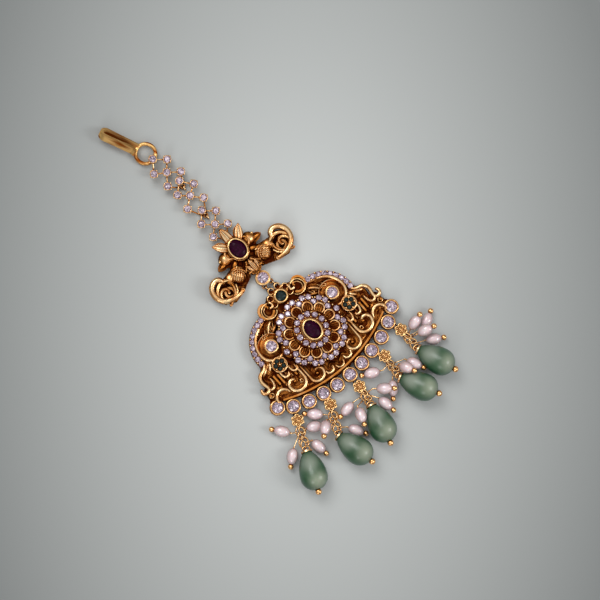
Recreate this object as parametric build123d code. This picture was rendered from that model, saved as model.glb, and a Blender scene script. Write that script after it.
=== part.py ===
from build123d import *
import math
import os

# Maang tikka (forehead jewel) lying flat on its back, face up, in millimetres.
# The origin is under the middle of the pendant's rosette, on the surface that it lies on.
# +Y runs along the jewel to the hair hook, +X across it, +Z out of its face.

# ---- driving dimensions ----
GAP = 0.06                  # clearance between a stone and its metal
PLATE_TOP = 1.3             # cast plate of the pendant
RELIEF_TOP = 2.3            # raised scrolls of the pendant
RIM_RADIUS = 1.95           # bezels along the pendant's lower rim
RIM_STONE = 1.35
RIM_TOP = 2.3
SIDE_BEZEL = 1.9
SIDE_TOP = 3.1
HALO_CENTRE = (7.3, 2.7)    # pave arc along the pendant's shoulder
HALO_RADIUS = 8.2
HALO_WIDTH = 1.5
HALO_TOP = 2.1
HALO_COUNT = 9
HALO_FROM, HALO_TO = -3.0, 84.0
SMALL_STONE = 0.6           # radius of the small cut stones
CLUSTER_CENTRE = (12.1, -0.9)
CLUSTER_RING = 1.12         # circle that the cluster's five stones stand on
CLUSTER_TOP = 2.7
ROSETTE_Y = 0.3             # middle of the rosette
ROSETTE_UNDER = 2.4         # underside of its skirt
ROSETTE_LOBES = 12
LOBE_RADIUS = 2.35
LOBE_CIRCLE = 7.25
RUBY = (1.9, 2.45)          # half axes of the rosette's oval stone
CREST_RUBY = (2.0, 2.6)
CREST_MIDDLE = (-0.25, 25.0)
CREST_TURN = 1.5            # degrees, how the crest lies
CREST_PLATE = 1.7
CREST_RELIEF = 2.9
CUP_STONE = 0.85            # stones of the chain
CUP_HEIGHT = 1.3
CUP_BASE = 0.88             # height of the cups above the surface
BAR = 0.21                  # radius of the chain's bars
EYE = (0.5, 0.18)           # small soldered eye: ring radius, wire radius
EYE_Z = 1.05
CONNECTOR = (-0.3, 18.8)
HOOK_EYE = (-1.67, 63.1)
HOOK_EYE_RADIUS = 2.6
HOOK_WIRE = 0.5
STRIP = (1.8, 0.8)          # hook strip: width, thickness
HOOK_GAP = 1.8              # inner width of the hook's bend
HOOK_LEAN = 22.0            # degrees from +Y towards -X
HOOK_TWIST = 45.0           # degrees, how the hook's plane leans from upright
RING_Z = 1.7                # height of the drops' rings above the surface
RING_WIRE = 0.19
PIN = 0.2                   # radius of the head pins
PIN_LOOP = (0.45, 0.12)     # loop round a ring: radius, wire
PIN_GAP = 16.0              # degrees between the loop's ends
PIN_KNOT = 0.23             # ball that closes the loop
PEARL = (2.15, 1.5)         # rice pearl: half length, radius
PEARL_BALL = 0.6
DROP_RADIUS = 3.6
DROP_LENGTH = 10.1
DROP_NECK = 1.25
DROP_BALL = 0.65


# ---- helpers ----
def unit(vector):
    return vector * (1.0 / vector.length)


def bar(start, end, radius, trim=0.0):
    """Round bar between two points, cut short by trim at its start."""
    start, end = Vector(*start), Vector(*end)
    start += unit(end - start) * trim
    run = end - start
    return Plane(origin=start, z_dir=unit(run)) * Cylinder(
        radius, run.length, align=(Align.CENTER, Align.CENTER, Align.MIN))


def ball(centre, radius):
    return Pos(*centre) * Sphere(radius)


def elbow(centre, first, second, radius):
    """Ball where two wires meet, with its poles and seam turned away from both."""
    axis = first.cross(second)
    if axis.length < 0.05:
        axis = first.cross(Vector(0, 0, 1))
    away = unit(axis).cross(unit(first) - unit(second))
    if away.dot(first) + away.dot(second) > 0:
        away = away * -1
    return Plane(origin=centre, x_dir=unit(away), z_dir=unit(axis)) * Sphere(radius)


def end_ball(centre, inward, radius):
    """Ball on a wire's end, with its seam on the far side."""
    return Plane(origin=centre, x_dir=inward * -1,
                 z_dir=inward.cross(Vector(0, 0, 1))) * Sphere(radius)


def ring(centre, normal, radius, wire):
    """Round ring whose axis is normal."""
    return Plane(origin=Vector(*centre), z_dir=Vector(*normal)) * Torus(radius, wire)


def lift(sketch, low, high):
    """Flat sketch pulled up from one height to another."""
    return Pos(0, 0, low) * extrude(sketch, high - low)


def both(sketch):
    """Sketch with its mirror image across the middle."""
    return sketch + mirror(sketch, about=Plane.YZ)


def stroke(x, y, heading, arcs, width):
    """Flat band along tangent arcs. Rows of arcs are (radius, turn in degrees, left
    positive), and a turn of 0 is a straight run of that length."""
    lines = []
    place = Vector(x, y)
    for radius, turn in arcs:
        angle = math.radians(heading)
        if turn == 0:
            end = place + Vector(math.cos(angle), math.sin(angle)) * radius
            lines.append(Line(place, end))
        else:
            side = 1 if turn > 0 else -1
            centre = place + Vector(-math.sin(angle), math.cos(angle)) * (radius * side)
            lines.append(CenterArc(centre, radius, heading - 90 * side, turn))
            heading += turn
            out = math.radians(heading - 90 * side)
            end = centre + Vector(math.cos(out), math.sin(out)) * radius
        place = end
    band = trace(lines, width)
    return band + Pos(x, y) * Circle(width / 2) + Pos(place.X, place.Y) * Circle(width / 2)


def lathe(profile):
    """Solid turned about Z from a closed (radius, height) outline."""
    return revolve(Plane.XZ * make_face(Polyline(*profile, close=True)), Axis.Z)


def cut_stone(radius, stretch=1.0):
    """Round brilliant: table, 8 stars, 8 kites, 16 upper and 16 lower facets, 8 mains."""
    def at(share, height, steps):
        angle = math.radians(22.5 * steps)
        return Vector(radius * share * math.cos(angle),
                      radius * share * math.sin(angle) * stretch, radius * height)

    faces = [[at(0.56, 0.34, 2 * i + 1) for i in range(8)]]
    tip = Vector(0, 0, -0.84 * radius)
    for i in range(8):
        left, mid, right = 2 * i - 1, 2 * i, 2 * i + 1
        star = at(0.8, 0.2, mid)
        star_next = at(0.8, 0.2, mid + 2)
        edge = [at(1.0, 0.03, step) for step in (left, mid, right)]
        low = [at(1.0, -0.03, step) for step in (left, mid, right)]
        main = at(0.5, -0.44, left)
        main_next = at(0.5, -0.44, right)
        faces += [
            [at(0.56, 0.34, left), star, at(0.56, 0.34, right)],
            [star, edge[2], at(0.56, 0.34, right)],
            [at(0.56, 0.34, right), edge[2], star_next],
            [star, edge[1], edge[2]],
            [star, edge[0], edge[1]],
            [edge[0], low[0], low[1], edge[1]],
            [edge[1], low[1], low[2], edge[2]],
            [low[1], low[0], main],
            [low[1], main_next, low[2]],
            [low[1], main, main_next],
            [main, tip, main_next],
        ]
    return Solid(Shell([Face(Wire.make_polygon(face, close=True)) for face in faces]))


def small_stone(radius):
    """Small cut stone: table, 8 main and 8 corner crown facets, 8 pavilion facets."""
    def at(share, height, angle):
        return Vector(radius * share * math.cos(math.radians(angle)),
                      radius * share * math.sin(math.radians(angle)), radius * height)

    faces = [[at(0.56, 0.34, 45 * i + 22.5) for i in range(8)]]
    tip = Vector(0, 0, -0.8 * radius)
    for i in range(8):
        edge, edge_next = at(1, 0, 45 * i), at(1, 0, 45 * i + 45)
        table, table_next = at(0.56, 0.34, 45 * i + 22.5), at(0.56, 0.34, 45 * i + 67.5)
        faces += [[edge, edge_next, table], [table, edge_next, table_next],
                  [tip, edge_next, edge]]
    return Solid(Shell([Face(Wire.make_polygon(face, close=True)) for face in faces]))


def seat(radius, stretch=1.0):
    """Tool that cuts a stone's seat, with the girdle at z = 0 and a lip that holds it."""
    r = radius
    lip = 0.94 * r
    tool = lathe([(0, -0.84 * r - 0.12), (0.12 * r, -0.84 * r - 0.1), (r + GAP, -0.1),
                  (r + GAP, 0.08), (lip, 0.16), (lip, 1.4 * r), (0, 1.4 * r)])
    return scale(tool, by=(1, stretch, 1)) if stretch != 1.0 else tool


def small_seat(radius):
    """Tool that cuts an open seat for a small stone, with the girdle at z = 0."""
    r = radius + GAP
    return lathe([(0, -0.95 * r - 0.05), (0.15, -0.95 * r), (r, 0), (r, 1.2), (0, 1.2)])


def oval_seat(half_x, half_y):
    """Straight oval pocket for an oval stone, with the girdle at z = 0."""
    shape = Ellipse(half_x + GAP, half_y + GAP)
    return lift(shape, -0.84 * half_x - 0.15, 2.0)


def save(name, shape):
    export_step(shape, os.path.join("parts", name + ".step"))


def save_many(name, solids):
    save(name, Compound(children=solids))


# ---- pendant frame ----
RIM_PLACES = [(0, -14.95), (4.3, -14.75), (8.4, -14.05), (12.6, -13.1), (16.55, -11.35),
              (19.85, -8.9)]
RIM = sorted(RIM_PLACES + [(-x, y) for x, y in RIM_PLACES if x > 0])
RIM_GIRDLE = RIM_TOP - 0.25
SIDE_PLACE = (10.6, 4.05)
TOP_PLACE = (0, 12.2)

# Raised scrolls of the right half; the left half mirrors them.
# (start x, start y, heading, arcs of (radius, turn), width)
SCROLLS = [
    (7.6, 2.3, -62, [(3.55, 150), (5.6, 78)], 0.55),             # paisley's outer edge
    (6.7, 8.9, -20, [(4.2, -40)], 0.45),                         # paisley's inner edge
    (9.2, -3.2, -90, [(4.0, 0), (2.4, 180), (1.35, 130)], 0.6),  # big scroll
    (8.35, -4.6, -90, [(4.4, 0), (2.0, -180), (1.15, -120)], 0.5),  # inner scroll
    (14.6, -7.9, 84, [(2.1, -150), (1.1, -70)], 0.55),           # outer loop
    (15.2, 1.6, -60, [(2.2, 55), (1.9, -95), (1.6, 0), (0.95, 230)], 0.6),  # shoulder
    (13.9, 1.0, -75, [(1.6, 40), (1.5, -30)], 0.5),              # shoulder's inner leaf
    (10.3, -3.4, -90, [(2.2, 0)], 0.45),                         # upright ridges
    (14.2, -2.6, -90, [(2.6, 0)], 0.45),
    (15.3, -2.2, -90, [(2.6, 0)], 0.45),
    (3.9, 10.4, -50, [(2.0, 215), (1.0, 100)], 0.6),             # C scroll beside the flower
    (1.9, -10.2, -90, [(1.15, 180)], 0.4),                       # loops under the rosette
]
SCROLL_BALLS = [(11.9, -6.6, 0.6), (6.1, -9.0, 0.5), (4.5, 12.2, 0.55), (19.15, -5.55, 0.6)]


def plate_outline():
    right = [(19.4, -7.6), (20.0, -6.4), (19.7, -4.9), (19.1, -3.3), (17.7, -2.8),
             (18.0, -1.2), (17.5, 0.3), (16.4, 1.5)]
    halo_out = HALO_RADIUS + HALO_WIDTH / 2
    halo = CenterArc(HALO_CENTRE, halo_out, -4, 92)
    top = [(7.4, 12.4), (5.0, 13.2), (2.5, 14.2), (0, 14.6)]
    bottom = ThreePointArc((-19.4, -7.6), (0, -13.3), (19.4, -7.6))
    side = [Line(a, b) for a, b in zip(right, right[1:])]
    side += [Line(right[-1], halo @ 0), halo, Line(halo @ 1, top[0])]
    side += [Line(a, b) for a, b in zip(top, top[1:])]
    other = [mirror(edge, about=Plane.YZ) for edge in side]
    sheet = make_face([bottom] + side + other)
    lobes = [(5.0, 11.3, 2.3), (2.6, 13.4, 1.0), (1.25, 14.2, 0.75), (18.7, -4.0, 1.0)]
    for x, y, radius in lobes:
        sheet += both(Pos(x, y) * Circle(radius))
    for x, y in RIM:
        sheet += Pos(x, y + RIM_RADIUS) * Circle(0.6)
    return sheet


def pendant_frame():
    keep_out = Pos(0, ROSETTE_Y) * Circle(8.2)
    relief = None
    for x, y, heading, arcs, width in SCROLLS:
        band = both(stroke(x, y, heading, arcs, width))
        relief = band if relief is None else relief + band
    ridge = trace([ThreePointArc((-17.4, -8.4), (0, -12.4), (17.4, -8.4))], 0.45)
    middle_loop = stroke(-1.15, -10.8, -90, [(1.15, 180)], 0.4)
    relief = relief + ridge + middle_loop - keep_out
    halo_band = trace([CenterArc(HALO_CENTRE, HALO_RADIUS, -6, 96)], HALO_WIDTH)
    setting = Pos(*CLUSTER_CENTRE) * Circle(2.1)
    frame = lift(plate_outline(), 0, PLATE_TOP)
    frame += lift(relief, PLATE_TOP - 0.2, RELIEF_TOP)
    frame += lift(both(halo_band), PLATE_TOP - 0.2, HALO_TOP)
    frame += lift(both(setting), PLATE_TOP - 0.2, CLUSTER_TOP)
    frame += lift(both(Pos(*SIDE_PLACE) * Circle(SIDE_BEZEL)), PLATE_TOP - 0.2, SIDE_TOP)
    frame += lift(Pos(*TOP_PLACE) * Circle(1.9), PLATE_TOP - 0.2, SIDE_TOP)
    for x, y, radius in SCROLL_BALLS:
        frame += ball((x, y, PLATE_TOP + 0.4), radius)
        frame += ball((-x, y, PLATE_TOP + 0.4), radius)
    for x, y in RIM:
        frame += Pos(x, y, RIM_TOP / 2) * Cylinder(RIM_RADIUS, RIM_TOP)
    rim_seat = seat(RIM_STONE)
    for x, y in RIM:
        frame -= Pos(x, y, RIM_GIRDLE) * rim_seat
    for x in (-SIDE_PLACE[0], SIDE_PLACE[0]):
        frame -= Pos(x, SIDE_PLACE[1], SIDE_TOP - 0.25) * rim_seat
    frame -= Pos(*TOP_PLACE, SIDE_TOP - 0.25) * rim_seat
    tool = small_seat(SMALL_STONE)
    for place in halo_places() + cluster_places():
        frame -= place * tool
    for x, y, turn in FLOWER_HANGS:
        out = RIM_RADIUS + 0.35
        angle = math.radians(turn)
        frame += ring((x + out * math.cos(angle), y + out * math.sin(angle), EYE_Z),
                      (0, 0, 1), *EYE)
    for x in (-PENDANT_EYE[0], PENDANT_EYE[0]):
        frame += ring((x, PENDANT_EYE[1], EYE_Z), (0, 0, 1), *EYE)
    return frame


def halo_places():
    """Places of the right halo's stones and then of the left one's."""
    places = []
    for side in (1, -1):
        for i in range(HALO_COUNT):
            angle = math.radians(HALO_FROM + (HALO_TO - HALO_FROM) * i / (HALO_COUNT - 1))
            x = side * (HALO_CENTRE[0] + HALO_RADIUS * math.cos(angle))
            places.append(Pos(x, HALO_CENTRE[1] + HALO_RADIUS * math.sin(angle), HALO_TOP - 0.05))
    return places


def cluster_places():
    """Places of the right cluster's stones and then of the left one's."""
    places = []
    for side in (1, -1):
        for i in range(5):
            angle = math.radians(90 + 72 * i)
            x = side * (CLUSTER_CENTRE[0] + CLUSTER_RING * math.cos(angle))
            y = CLUSTER_CENTRE[1] + CLUSTER_RING * math.sin(angle)
            places.append(Pos(x, y, CLUSTER_TOP - 0.05))
    return places


# ---- rosette ----
def dome_height(radius):
    """Height of the rosette's face at a distance from its middle."""
    steps = [(0, 5.3), (3.0, 5.2), (5.0, 4.6), (5.2, 4.1), (7.1, 3.75), (7.3, 3.95), (9.7, 3.3)]
    for (r0, z0), (r1, z1) in zip(steps, steps[1:]):
        if radius <= r1:
            return z0 + (z1 - z0) * (radius - r0) / (r1 - r0)
    return steps[-1][1]


def rosette_ring(count, radius, radius_y, first, tilt):
    """Places of small stones on the dome, leaning outwards."""
    places = []
    for i in range(count):
        angle = first + 360.0 * i / count
        x = radius * math.cos(math.radians(angle))
        y = radius_y * math.sin(math.radians(angle))
        far = math.hypot(x, y)
        places.append(Pos(x, y + ROSETTE_Y, dome_height(far) - 0.02)
                      * Rot(0, 0, math.degrees(math.atan2(y, x))) * Rot(0, tilt, 0))
    return places


def outer_places():
    """Zigzag of stones: one in each valley and two on each lobe, one at the sides."""
    places = []
    for i in range(ROSETTE_LOBES):
        middle = 30.0 * i
        spread = 0.0 if i in (0, 6) else 5.6
        for angle, far in ((middle - spread, 8.65), (middle + spread, 8.65)):
            if spread or angle == middle and (angle, far) not in places:
                places.append((angle, far))
        places.append((middle + 15.0, 7.5))
    unique = sorted(set(places))
    return [Pos(far * math.cos(math.radians(angle)),
                far * math.sin(math.radians(angle)) + ROSETTE_Y, dome_height(far) - 0.02)
            * Rot(0, 0, angle) * Rot(0, 14, 0) for angle, far in unique]


def rosette():
    outline = Circle(8.0)
    for i in range(ROSETTE_LOBES):
        angle = math.radians(30 * i)
        outline += Pos(LOBE_CIRCLE * math.cos(angle), LOBE_CIRCLE * math.sin(angle)) * Circle(
            LOBE_RADIUS)
    dome = lathe([(0, 0), (5.0, 0), (5.0, ROSETTE_UNDER), (10.0, ROSETTE_UNDER), (10.0, 3.25),
                  (7.3, 3.95), (7.1, 3.75), (5.2, 4.1), (5.0, 4.6), (3.0, 5.2), (0, 5.3)])
    body = dome & lift(outline, PLATE_TOP + GAP, 8.0)
    body += lift(Ellipse(2.45, 3.1), 4.5, 6.0)
    body = Pos(0, ROSETTE_Y, 0) * body
    body -= Pos(0, ROSETTE_Y, 5.7) * oval_seat(*RUBY)
    tool = small_seat(SMALL_STONE)
    for place in inner_places() + outer_places():
        body -= place * tool
    for i in range(ROSETTE_LOBES):
        angle = 30 * i
        cup = Pos(5.95 * math.cos(math.radians(angle)),
                  5.95 * math.sin(math.radians(angle)) + ROSETTE_Y, 4.7)
        body -= cup * Sphere(1.15)
    return body


def inner_places():
    return rosette_ring(13, 3.75, 4.35, 90, 10)


# ---- crest ----
def leaf(base, tip, width):
    """Pointed leaf from its base to its tip."""
    base, tip = Vector(*base), Vector(*tip)
    run = tip - base
    side = Vector(-run.Y, run.X) * (width / 2 / run.length)
    middle = base + run * 0.45
    left = ThreePointArc(base, middle + side, tip)
    right = ThreePointArc(tip, middle - side, base)
    return make_face([left, right])


# Tail scrolls and leaf curls of the crest's right half, measured from its middle line.
CREST_SCROLLS = [
    (6.3, 19.9, -15, [(6.5, 40), (3.6, 85), (2.7, 60), (1.5, 100)], 1.1),   # outer tail
    (9.2, 20.6, 0, [(1.15, 300)], 0.6),                                     # spiral eye
    (7.4, 23.4, -100, [(3.0, 75), (2.2, 0)], 0.8),                          # ribbed band
    (2.9, 30.3, -20, [(1.3, -150)], 0.7),                                   # leaf curl
    (0.8, 24.6, -60, [(4.5, 30)], 0.5),                                     # fleur strokes
    (0.5, 22.2, -30, [(2.2, 40)], 0.5),
]


def crest():
    sheet = Ellipse(2.9, 3.4)
    sheet = Pos(0, 28.7) * sheet
    sheet += Pos(0, 24.3) * Rectangle(9.4, 5.0)
    sheet += both(make_face(Polyline((2.0, 21.2), (6.6, 19.3), (9.4, 18.8), (11.9, 20.2), (12.3, 23.0),
                                     (9.8, 25.3), (6.5, 25.8), (3.0, 26.6), close=True)))
    sheet += both(Pos(3.9, 28.6) * Circle(2.1)) + both(leaf((3.6, 28.2), (7.5, 27.8), 2.2))
    sheet += both(Pos(9.35, 22.5) * Circle(3.2)) + Pos(0, 22.3) * Circle(1.9)
    body = lift(sheet, 0, CREST_PLATE)
    relief = None
    for x, y, heading, arcs, width in CREST_SCROLLS:
        band = both(stroke(x, y, heading, arcs, width))
        relief = band if relief is None else relief + band
    body += lift(relief, 1.2, CREST_RELIEF)
    body += lift(Pos(0, 28.7) * Ellipse(2.45, 3.05), 1.2, 3.6)
    body += lift(Pos(0, 22.4) * Circle(1.9), 1.2, 2.7)
    petals = both(leaf((1.6, 30.2), (4.2, 33.5), 2.4)) + leaf((0, 30.4), (0, 35.7), 2.5)
    body += lift(petals, 2.1, 3.0)
    body += lift(Pos(0, 31.3) * Rectangle(4.4, 1.6), 1.5, 2.8)
    for side in (-1, 1):
        body += ball((side * 4.5, 23.7, 1.4), 2.1)
        body += ball((side * 6.6, 24.3, 1.3), 1.5)
    body &= Pos(0, 27, 5) * Box(40, 30, 10)
    body -= Pos(0, 28.7, 3.3) * oval_seat(*CREST_RUBY)
    body -= Pos(0, 21.0, 1.0) * Box(2.4, 4.2, 2.7)
    body -= Pos(0, 33.8, 1.0) * Box(5.6, 4.3, 2.1)
    body += ring((0, CREST_LOW_EYE, EYE_Z), (0, 0, 1), *EYE)
    body += ring((0, CREST_TOP_EYE, EYE_Z), (0, 0, 1), *EYE)
    post = CREST_TOP_EYE + EYE[0]
    body += bar((0, post, EYE_Z), (0, post, 2.4), 0.2)
    return CREST_PLACE * body


CREST_LOW_EYE = 22.6
CREST_TOP_EYE = 33.1
CREST_PLACE = Pos(*CREST_MIDDLE) * Rot(0, 0, CREST_TURN) * Pos(0, -CREST_MIDDLE[1])


def on_crest(x, y):
    """Point of the crest's own plan, as it lies."""
    turn = math.radians(CREST_TURN)
    y = y - CREST_MIDDLE[1]
    return (CREST_MIDDLE[0] + x * math.cos(turn) - y * math.sin(turn),
            CREST_MIDDLE[1] + x * math.sin(turn) + y * math.cos(turn))


# ---- connector between crest and pendant ----
PENDANT_EYE = (1.15, 15.35)
CONNECTOR_EYES = [(-1.15, -1.99), (1.15, -1.99), (0, 2.3)]


def connector():
    body = Pos(0, 0, RIM_TOP / 2 + 0.1) * Cylinder(RIM_RADIUS, RIM_TOP - 0.2)
    body -= Pos(0, 0, RIM_GIRDLE) * seat(RIM_STONE)
    for x, y in CONNECTOR_EYES:
        body += ring((x, y, EYE_Z), (0, 0, 1), *EYE)
    return Pos(*CONNECTOR, 0) * body


def joining_ring(start, end, wire=0.17):
    """Upright ring that passes through two lying eyes."""
    start, end = Vector(*start, EYE_Z), Vector(*end, EYE_Z)
    run = end - start
    return ring(((start + end) * 0.5), (run.Y, -run.X, 0), run.length / 2, wire)


# ---- chain ----
# Each link: middle cup's place, turn in degrees, distance of its top cup, upper and
# lower pairs' distances along the link.
CHAIN = [
    dict(x=-0.84, y=55.8, turn=7.0, top=4.95, upper=2.15, lower=-2.6),
    dict(x=-0.34, y=47.3, turn=-6.0, top=4.7, upper=1.95, lower=-2.5),
    dict(x=-0.44, y=37.4, turn=1.5, top=5.0, upper=2.45, lower=-2.1),
]
PAIR_HALF = 2.58
BAR_TRIM = 0.5              # bars stop short of a cup's middle
BRACE = 0.18                # radius of the low bars that carry a link's hook ring
BRACE_KNOT = 0.3            # ball where the two low bars meet
BRACE_LOW, BRACE_HIGH = 0.38, 0.85
EYE_POST = 0.14             # radius of the short post that carries a link's eye
LINK_EYE_DROP = 1.6         # from a top cup to the eye under it
HOOK_RING = (0.6, 0.17)     # radius and wire of the upright ring under a link
BAIL = (0.8, 0.18)          # first link's ring round the hook's ring
LIFTED_FOOT = 1.85          # height of the first link's top cup


def turned(link, across, along):
    """Point of a link in plan."""
    turn = math.radians(link["turn"])
    return (link["x"] + across * math.cos(turn) - along * math.sin(turn),
            link["y"] + across * math.sin(turn) + along * math.cos(turn))


def cup():
    """Four-claw cup with its foot at z = 0."""
    body = lathe([(0, 0), (0.55, 0), (1.0, CUP_HEIGHT - 0.35), (1.0, CUP_HEIGHT), (0, CUP_HEIGHT)])
    body -= Pos(0, 0, CUP_HEIGHT - 0.1) * small_seat(CUP_STONE)
    for i in range(4):
        angle = math.radians(90 * i)
        x, y = 1.09 * math.cos(angle), 1.09 * math.sin(angle)
        body += bar((x, y, 0.45), (x, y, CUP_HEIGHT + 0.15), 0.16)
        body += ball((x, y, CUP_HEIGHT + 0.15), 0.22)
    return body


def cup_places(number):
    """Feet of a link's six cups, the top one first. The first link's top cup is
    lifted onto the hook's ring."""
    link = CHAIN[number]
    high = LIFTED_FOOT if number == 0 else CUP_BASE
    plan = [(0, link["top"], high), (-PAIR_HALF, link["upper"], CUP_BASE),
            (PAIR_HALF, link["upper"], CUP_BASE), (0, 0, CUP_BASE),
            (-PAIR_HALF, link["lower"], CUP_BASE), (PAIR_HALF, link["lower"], CUP_BASE)]
    return [(*turned(link, across, along), z) for across, along, z in plan]


def chain_link(number):
    link = CHAIN[number]
    places = cup_places(number)
    body = None
    for x, y, z in places:
        part = Pos(x, y, z) * Rot(0, 0, link["turn"]) * cup()
        body = part if body is None else body + part
    for first, last in ((0, 1), (0, 2), (1, 3), (2, 3), (3, 4), (3, 5)):
        a, b = [Vector(*places[i]) + Vector(0, 0, 0.4) for i in (first, last)]
        body += bar(tuple(a), tuple(b - unit(b - a) * BAR_TRIM), BAR, BAR_TRIM)
    low = ring_place(number)
    for x, y, z in places[4:]:
        body += bar((x, y, BRACE_HIGH), (*low, BRACE_LOW), BRACE, BAR_TRIM)
    body += ball((*low, BRACE_LOW), BRACE_KNOT)
    turn = math.radians(next_turn(number))
    body += ring((*low, EYE_Z), (math.cos(turn), math.sin(turn), 0), *HOOK_RING)
    if number > 0:
        top, eye = link["top"], link["top"] - LINK_EYE_DROP
        post = eye + EYE[0] - EYE[1] / 4
        body += bar((*turned(link, 0, top), CUP_BASE + 0.3), (*turned(link, 0, post), EYE_Z),
                    EYE_POST, BAR_TRIM)
        body += ring((*turned(link, 0, eye), EYE_Z), (0, 0, 1), *EYE)
    else:
        body += ring((places[0][0], HOOK_EYE[1] - HOOK_EYE_RADIUS, 1.0), (1, 0, 0), *BAIL)
    return body


def next_turn(number):
    """Turn of the piece that a link's hook ring goes into."""
    return CHAIN[number + 1]["turn"] if number + 1 < len(CHAIN) else CREST_TURN


def ring_place(number):
    """Middle of the upright ring that hooks a link into the next piece's eye."""
    if number + 1 < len(CHAIN):
        link = CHAIN[number + 1]
        return turned(link, 0, link["top"] - LINK_EYE_DROP - HOOK_RING[0])
    return on_crest(0, CREST_TOP_EYE - HOOK_RING[0])


# ---- hair hook ----
def hair_hook():
    lean = math.radians(HOOK_LEAN)
    along = Vector(-math.sin(lean), math.cos(lean), 0)
    across = Vector(-math.cos(lean), -math.sin(lean), 0)
    twist = math.radians(HOOK_TWIST)
    rise = across * math.sin(twist) + Vector(0, 0, math.cos(twist))
    start = Vector(*HOOK_EYE, 0) + along * (HOOK_EYE_RADIUS - 0.2) - across * 0.55
    start += Vector(0, 0, 1.05)
    width, thick = STRIP
    outer, inner = HOOK_GAP / 2 + thick, HOOK_GAP / 2
    long_run, short_run, lip = 9.0, 8.0, 0.9
    middle = inner + thick / 2
    path = [Line((0, 0), (long_run, 0)),
            CenterArc((long_run, middle), middle, -90, 180),
            Line((long_run, 2 * middle), (long_run - short_run, 2 * middle - 0.45)),
            Line((long_run - short_run, 2 * middle - 0.45),
                 (long_run - short_run - lip, 2 * middle + 0.1))]
    strip = trace(path[:2], thick) + trace(path[2:3], thick) + trace(path[3:], thick)
    strip += Pos(long_run - short_run, 2 * middle - 0.45) * Circle(thick / 2)
    plane = Plane(origin=start, x_dir=along, z_dir=along.cross(rise))
    body = plane * extrude(strip, width / 2, both=True)
    body += ring((*HOOK_EYE, 1.0), (0, 0, 1), HOOK_EYE_RADIUS, HOOK_WIRE)
    return body


# ---- drops ----
# Each row: rim bezel number from the left, flower's place, drop's cap and ball, radius of
# the two rings (0 for a missing second ring).
DROPS = [
    dict(rim=1, flower=(-18.15, -14.8), cap=(-21.85, -22.4), ball=(-27.0, -32.9), rings=(1.25, 1.25)),
    dict(rim=3, flower=(-9.05, -17.4), cap=(-12.85, -24.9), ball=(-11.0, -35.3), rings=(1.25, 1.25)),
    dict(rim=5, flower=(-0.25, -18.9), cap=(-1.35, -24.7), ball=(-4.2, -35.0), rings=(1.15, 0)),
    dict(rim=7, flower=(9.95, -17.3), cap=(9.25, -24.2), ball=(13.7, -33.6), rings=(0.95, 0.95)),
    dict(rim=9, flower=(17.7, -15.1), cap=(17.65, -21.9), ball=(21.4, -32.6), rings=(0.95, 0.95)),
]
# Each pearl: drop's index, ring's index, angle on the ring, root end and ball of the pin.
PEARLS = [
    (0, 0, 150, (-21.5, -16.3, 1.7), (-24.7, -12.1, 1.55)),
    (0, 0, 200, (-23.7, -19.5, 1.7), (-27.4, -22.6, 1.55)),
    (0, 1, -35, (-18.8, -21.1, 1.7), (-18.2, -26.1, 1.55)),
    (0, 0, -15, (-17.5, -18.0, 1.7), (-13.6, -20.3, 1.45)),
    (1, 0, 130, (-12.0, -18.2, 1.7), (-15.6, -14.7, 1.6)),
    (1, 0, 185, (-12.5, -19.7, 2.8), (-16.1, -22.3, 5.3)),
    (1, 1, -45, (-9.7, -24.5, 1.7), (-7.0, -29.1, 1.55)),
    (2, 0, 150, (-4.2, -20.9, 1.7), (-9.1, -21.5, 1.55)),
    (2, 0, 205, (-4.1, -22.3, 3.0), (-6.1, -27.0, 4.6)),
    (2, 0, 15, (1.9, -21.6, 2.4), (6.0, -25.2, 4.5)),
    (2, 0, -30, (1.5, -24.4, 2.2), (2.2, -29.3, 3.0)),
    (3, 0, 160, (7.2, -19.8, 1.7), (2.2, -17.2, 1.55)),
    (3, 1, 195, (7.9, -22.8, 1.7), (4.3, -27.1, 1.55)),
    (3, 1, 35, (11.2, -21.3, 3.4), (12.7, -25.2, 6.4)),
    (3, 0, -20, (13.3, -21.4, 2.6), (15.5, -26.3, 3.2)),
    (4, 0, 35, (20.0, -16.5, 2.1), (23.8, -15.3, 4.2)),
    (4, 0, -5, (22.7, -18.6, 1.7), (26.9, -16.6, 1.55)),
    (4, 0, -36, (19.8, -18.6, 3.1), (24.4, -20.0, 5.3)),
    (4, 1, -12, (20.8, -21.4, 1.7), (24.9, -24.0, 1.55)),
]
FLOWER_LOOP = 1.75          # from a flower's middle to its lower loop
LINK_STEP = 0.5             # between the two rings, inside the small link that joins them


def heading(start, end):
    return math.degrees(math.atan2(end[1] - start[1], end[0] - start[0]))


def polar(place, distance, angle):
    return (place[0] + distance * math.cos(math.radians(angle)),
            place[1] + distance * math.sin(math.radians(angle)))


def upright(angle):
    """Axis of an upright ring that runs along the given heading."""
    return (-math.sin(math.radians(angle)), math.cos(math.radians(angle)), 0)


FLOWER_HANGS = [(*RIM[drop["rim"]], heading(RIM[drop["rim"]], drop["flower"])) for drop in DROPS]


def ring_centres(drop):
    """Middles of a drop's rings."""
    down = heading(drop["flower"], drop["cap"])
    first, second = drop["rings"]
    centres = [polar(drop["flower"], FLOWER_LOOP + first, down)]
    if second:
        centres.append(polar(centres[0], first + LINK_STEP + second, down))
    return centres


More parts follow.
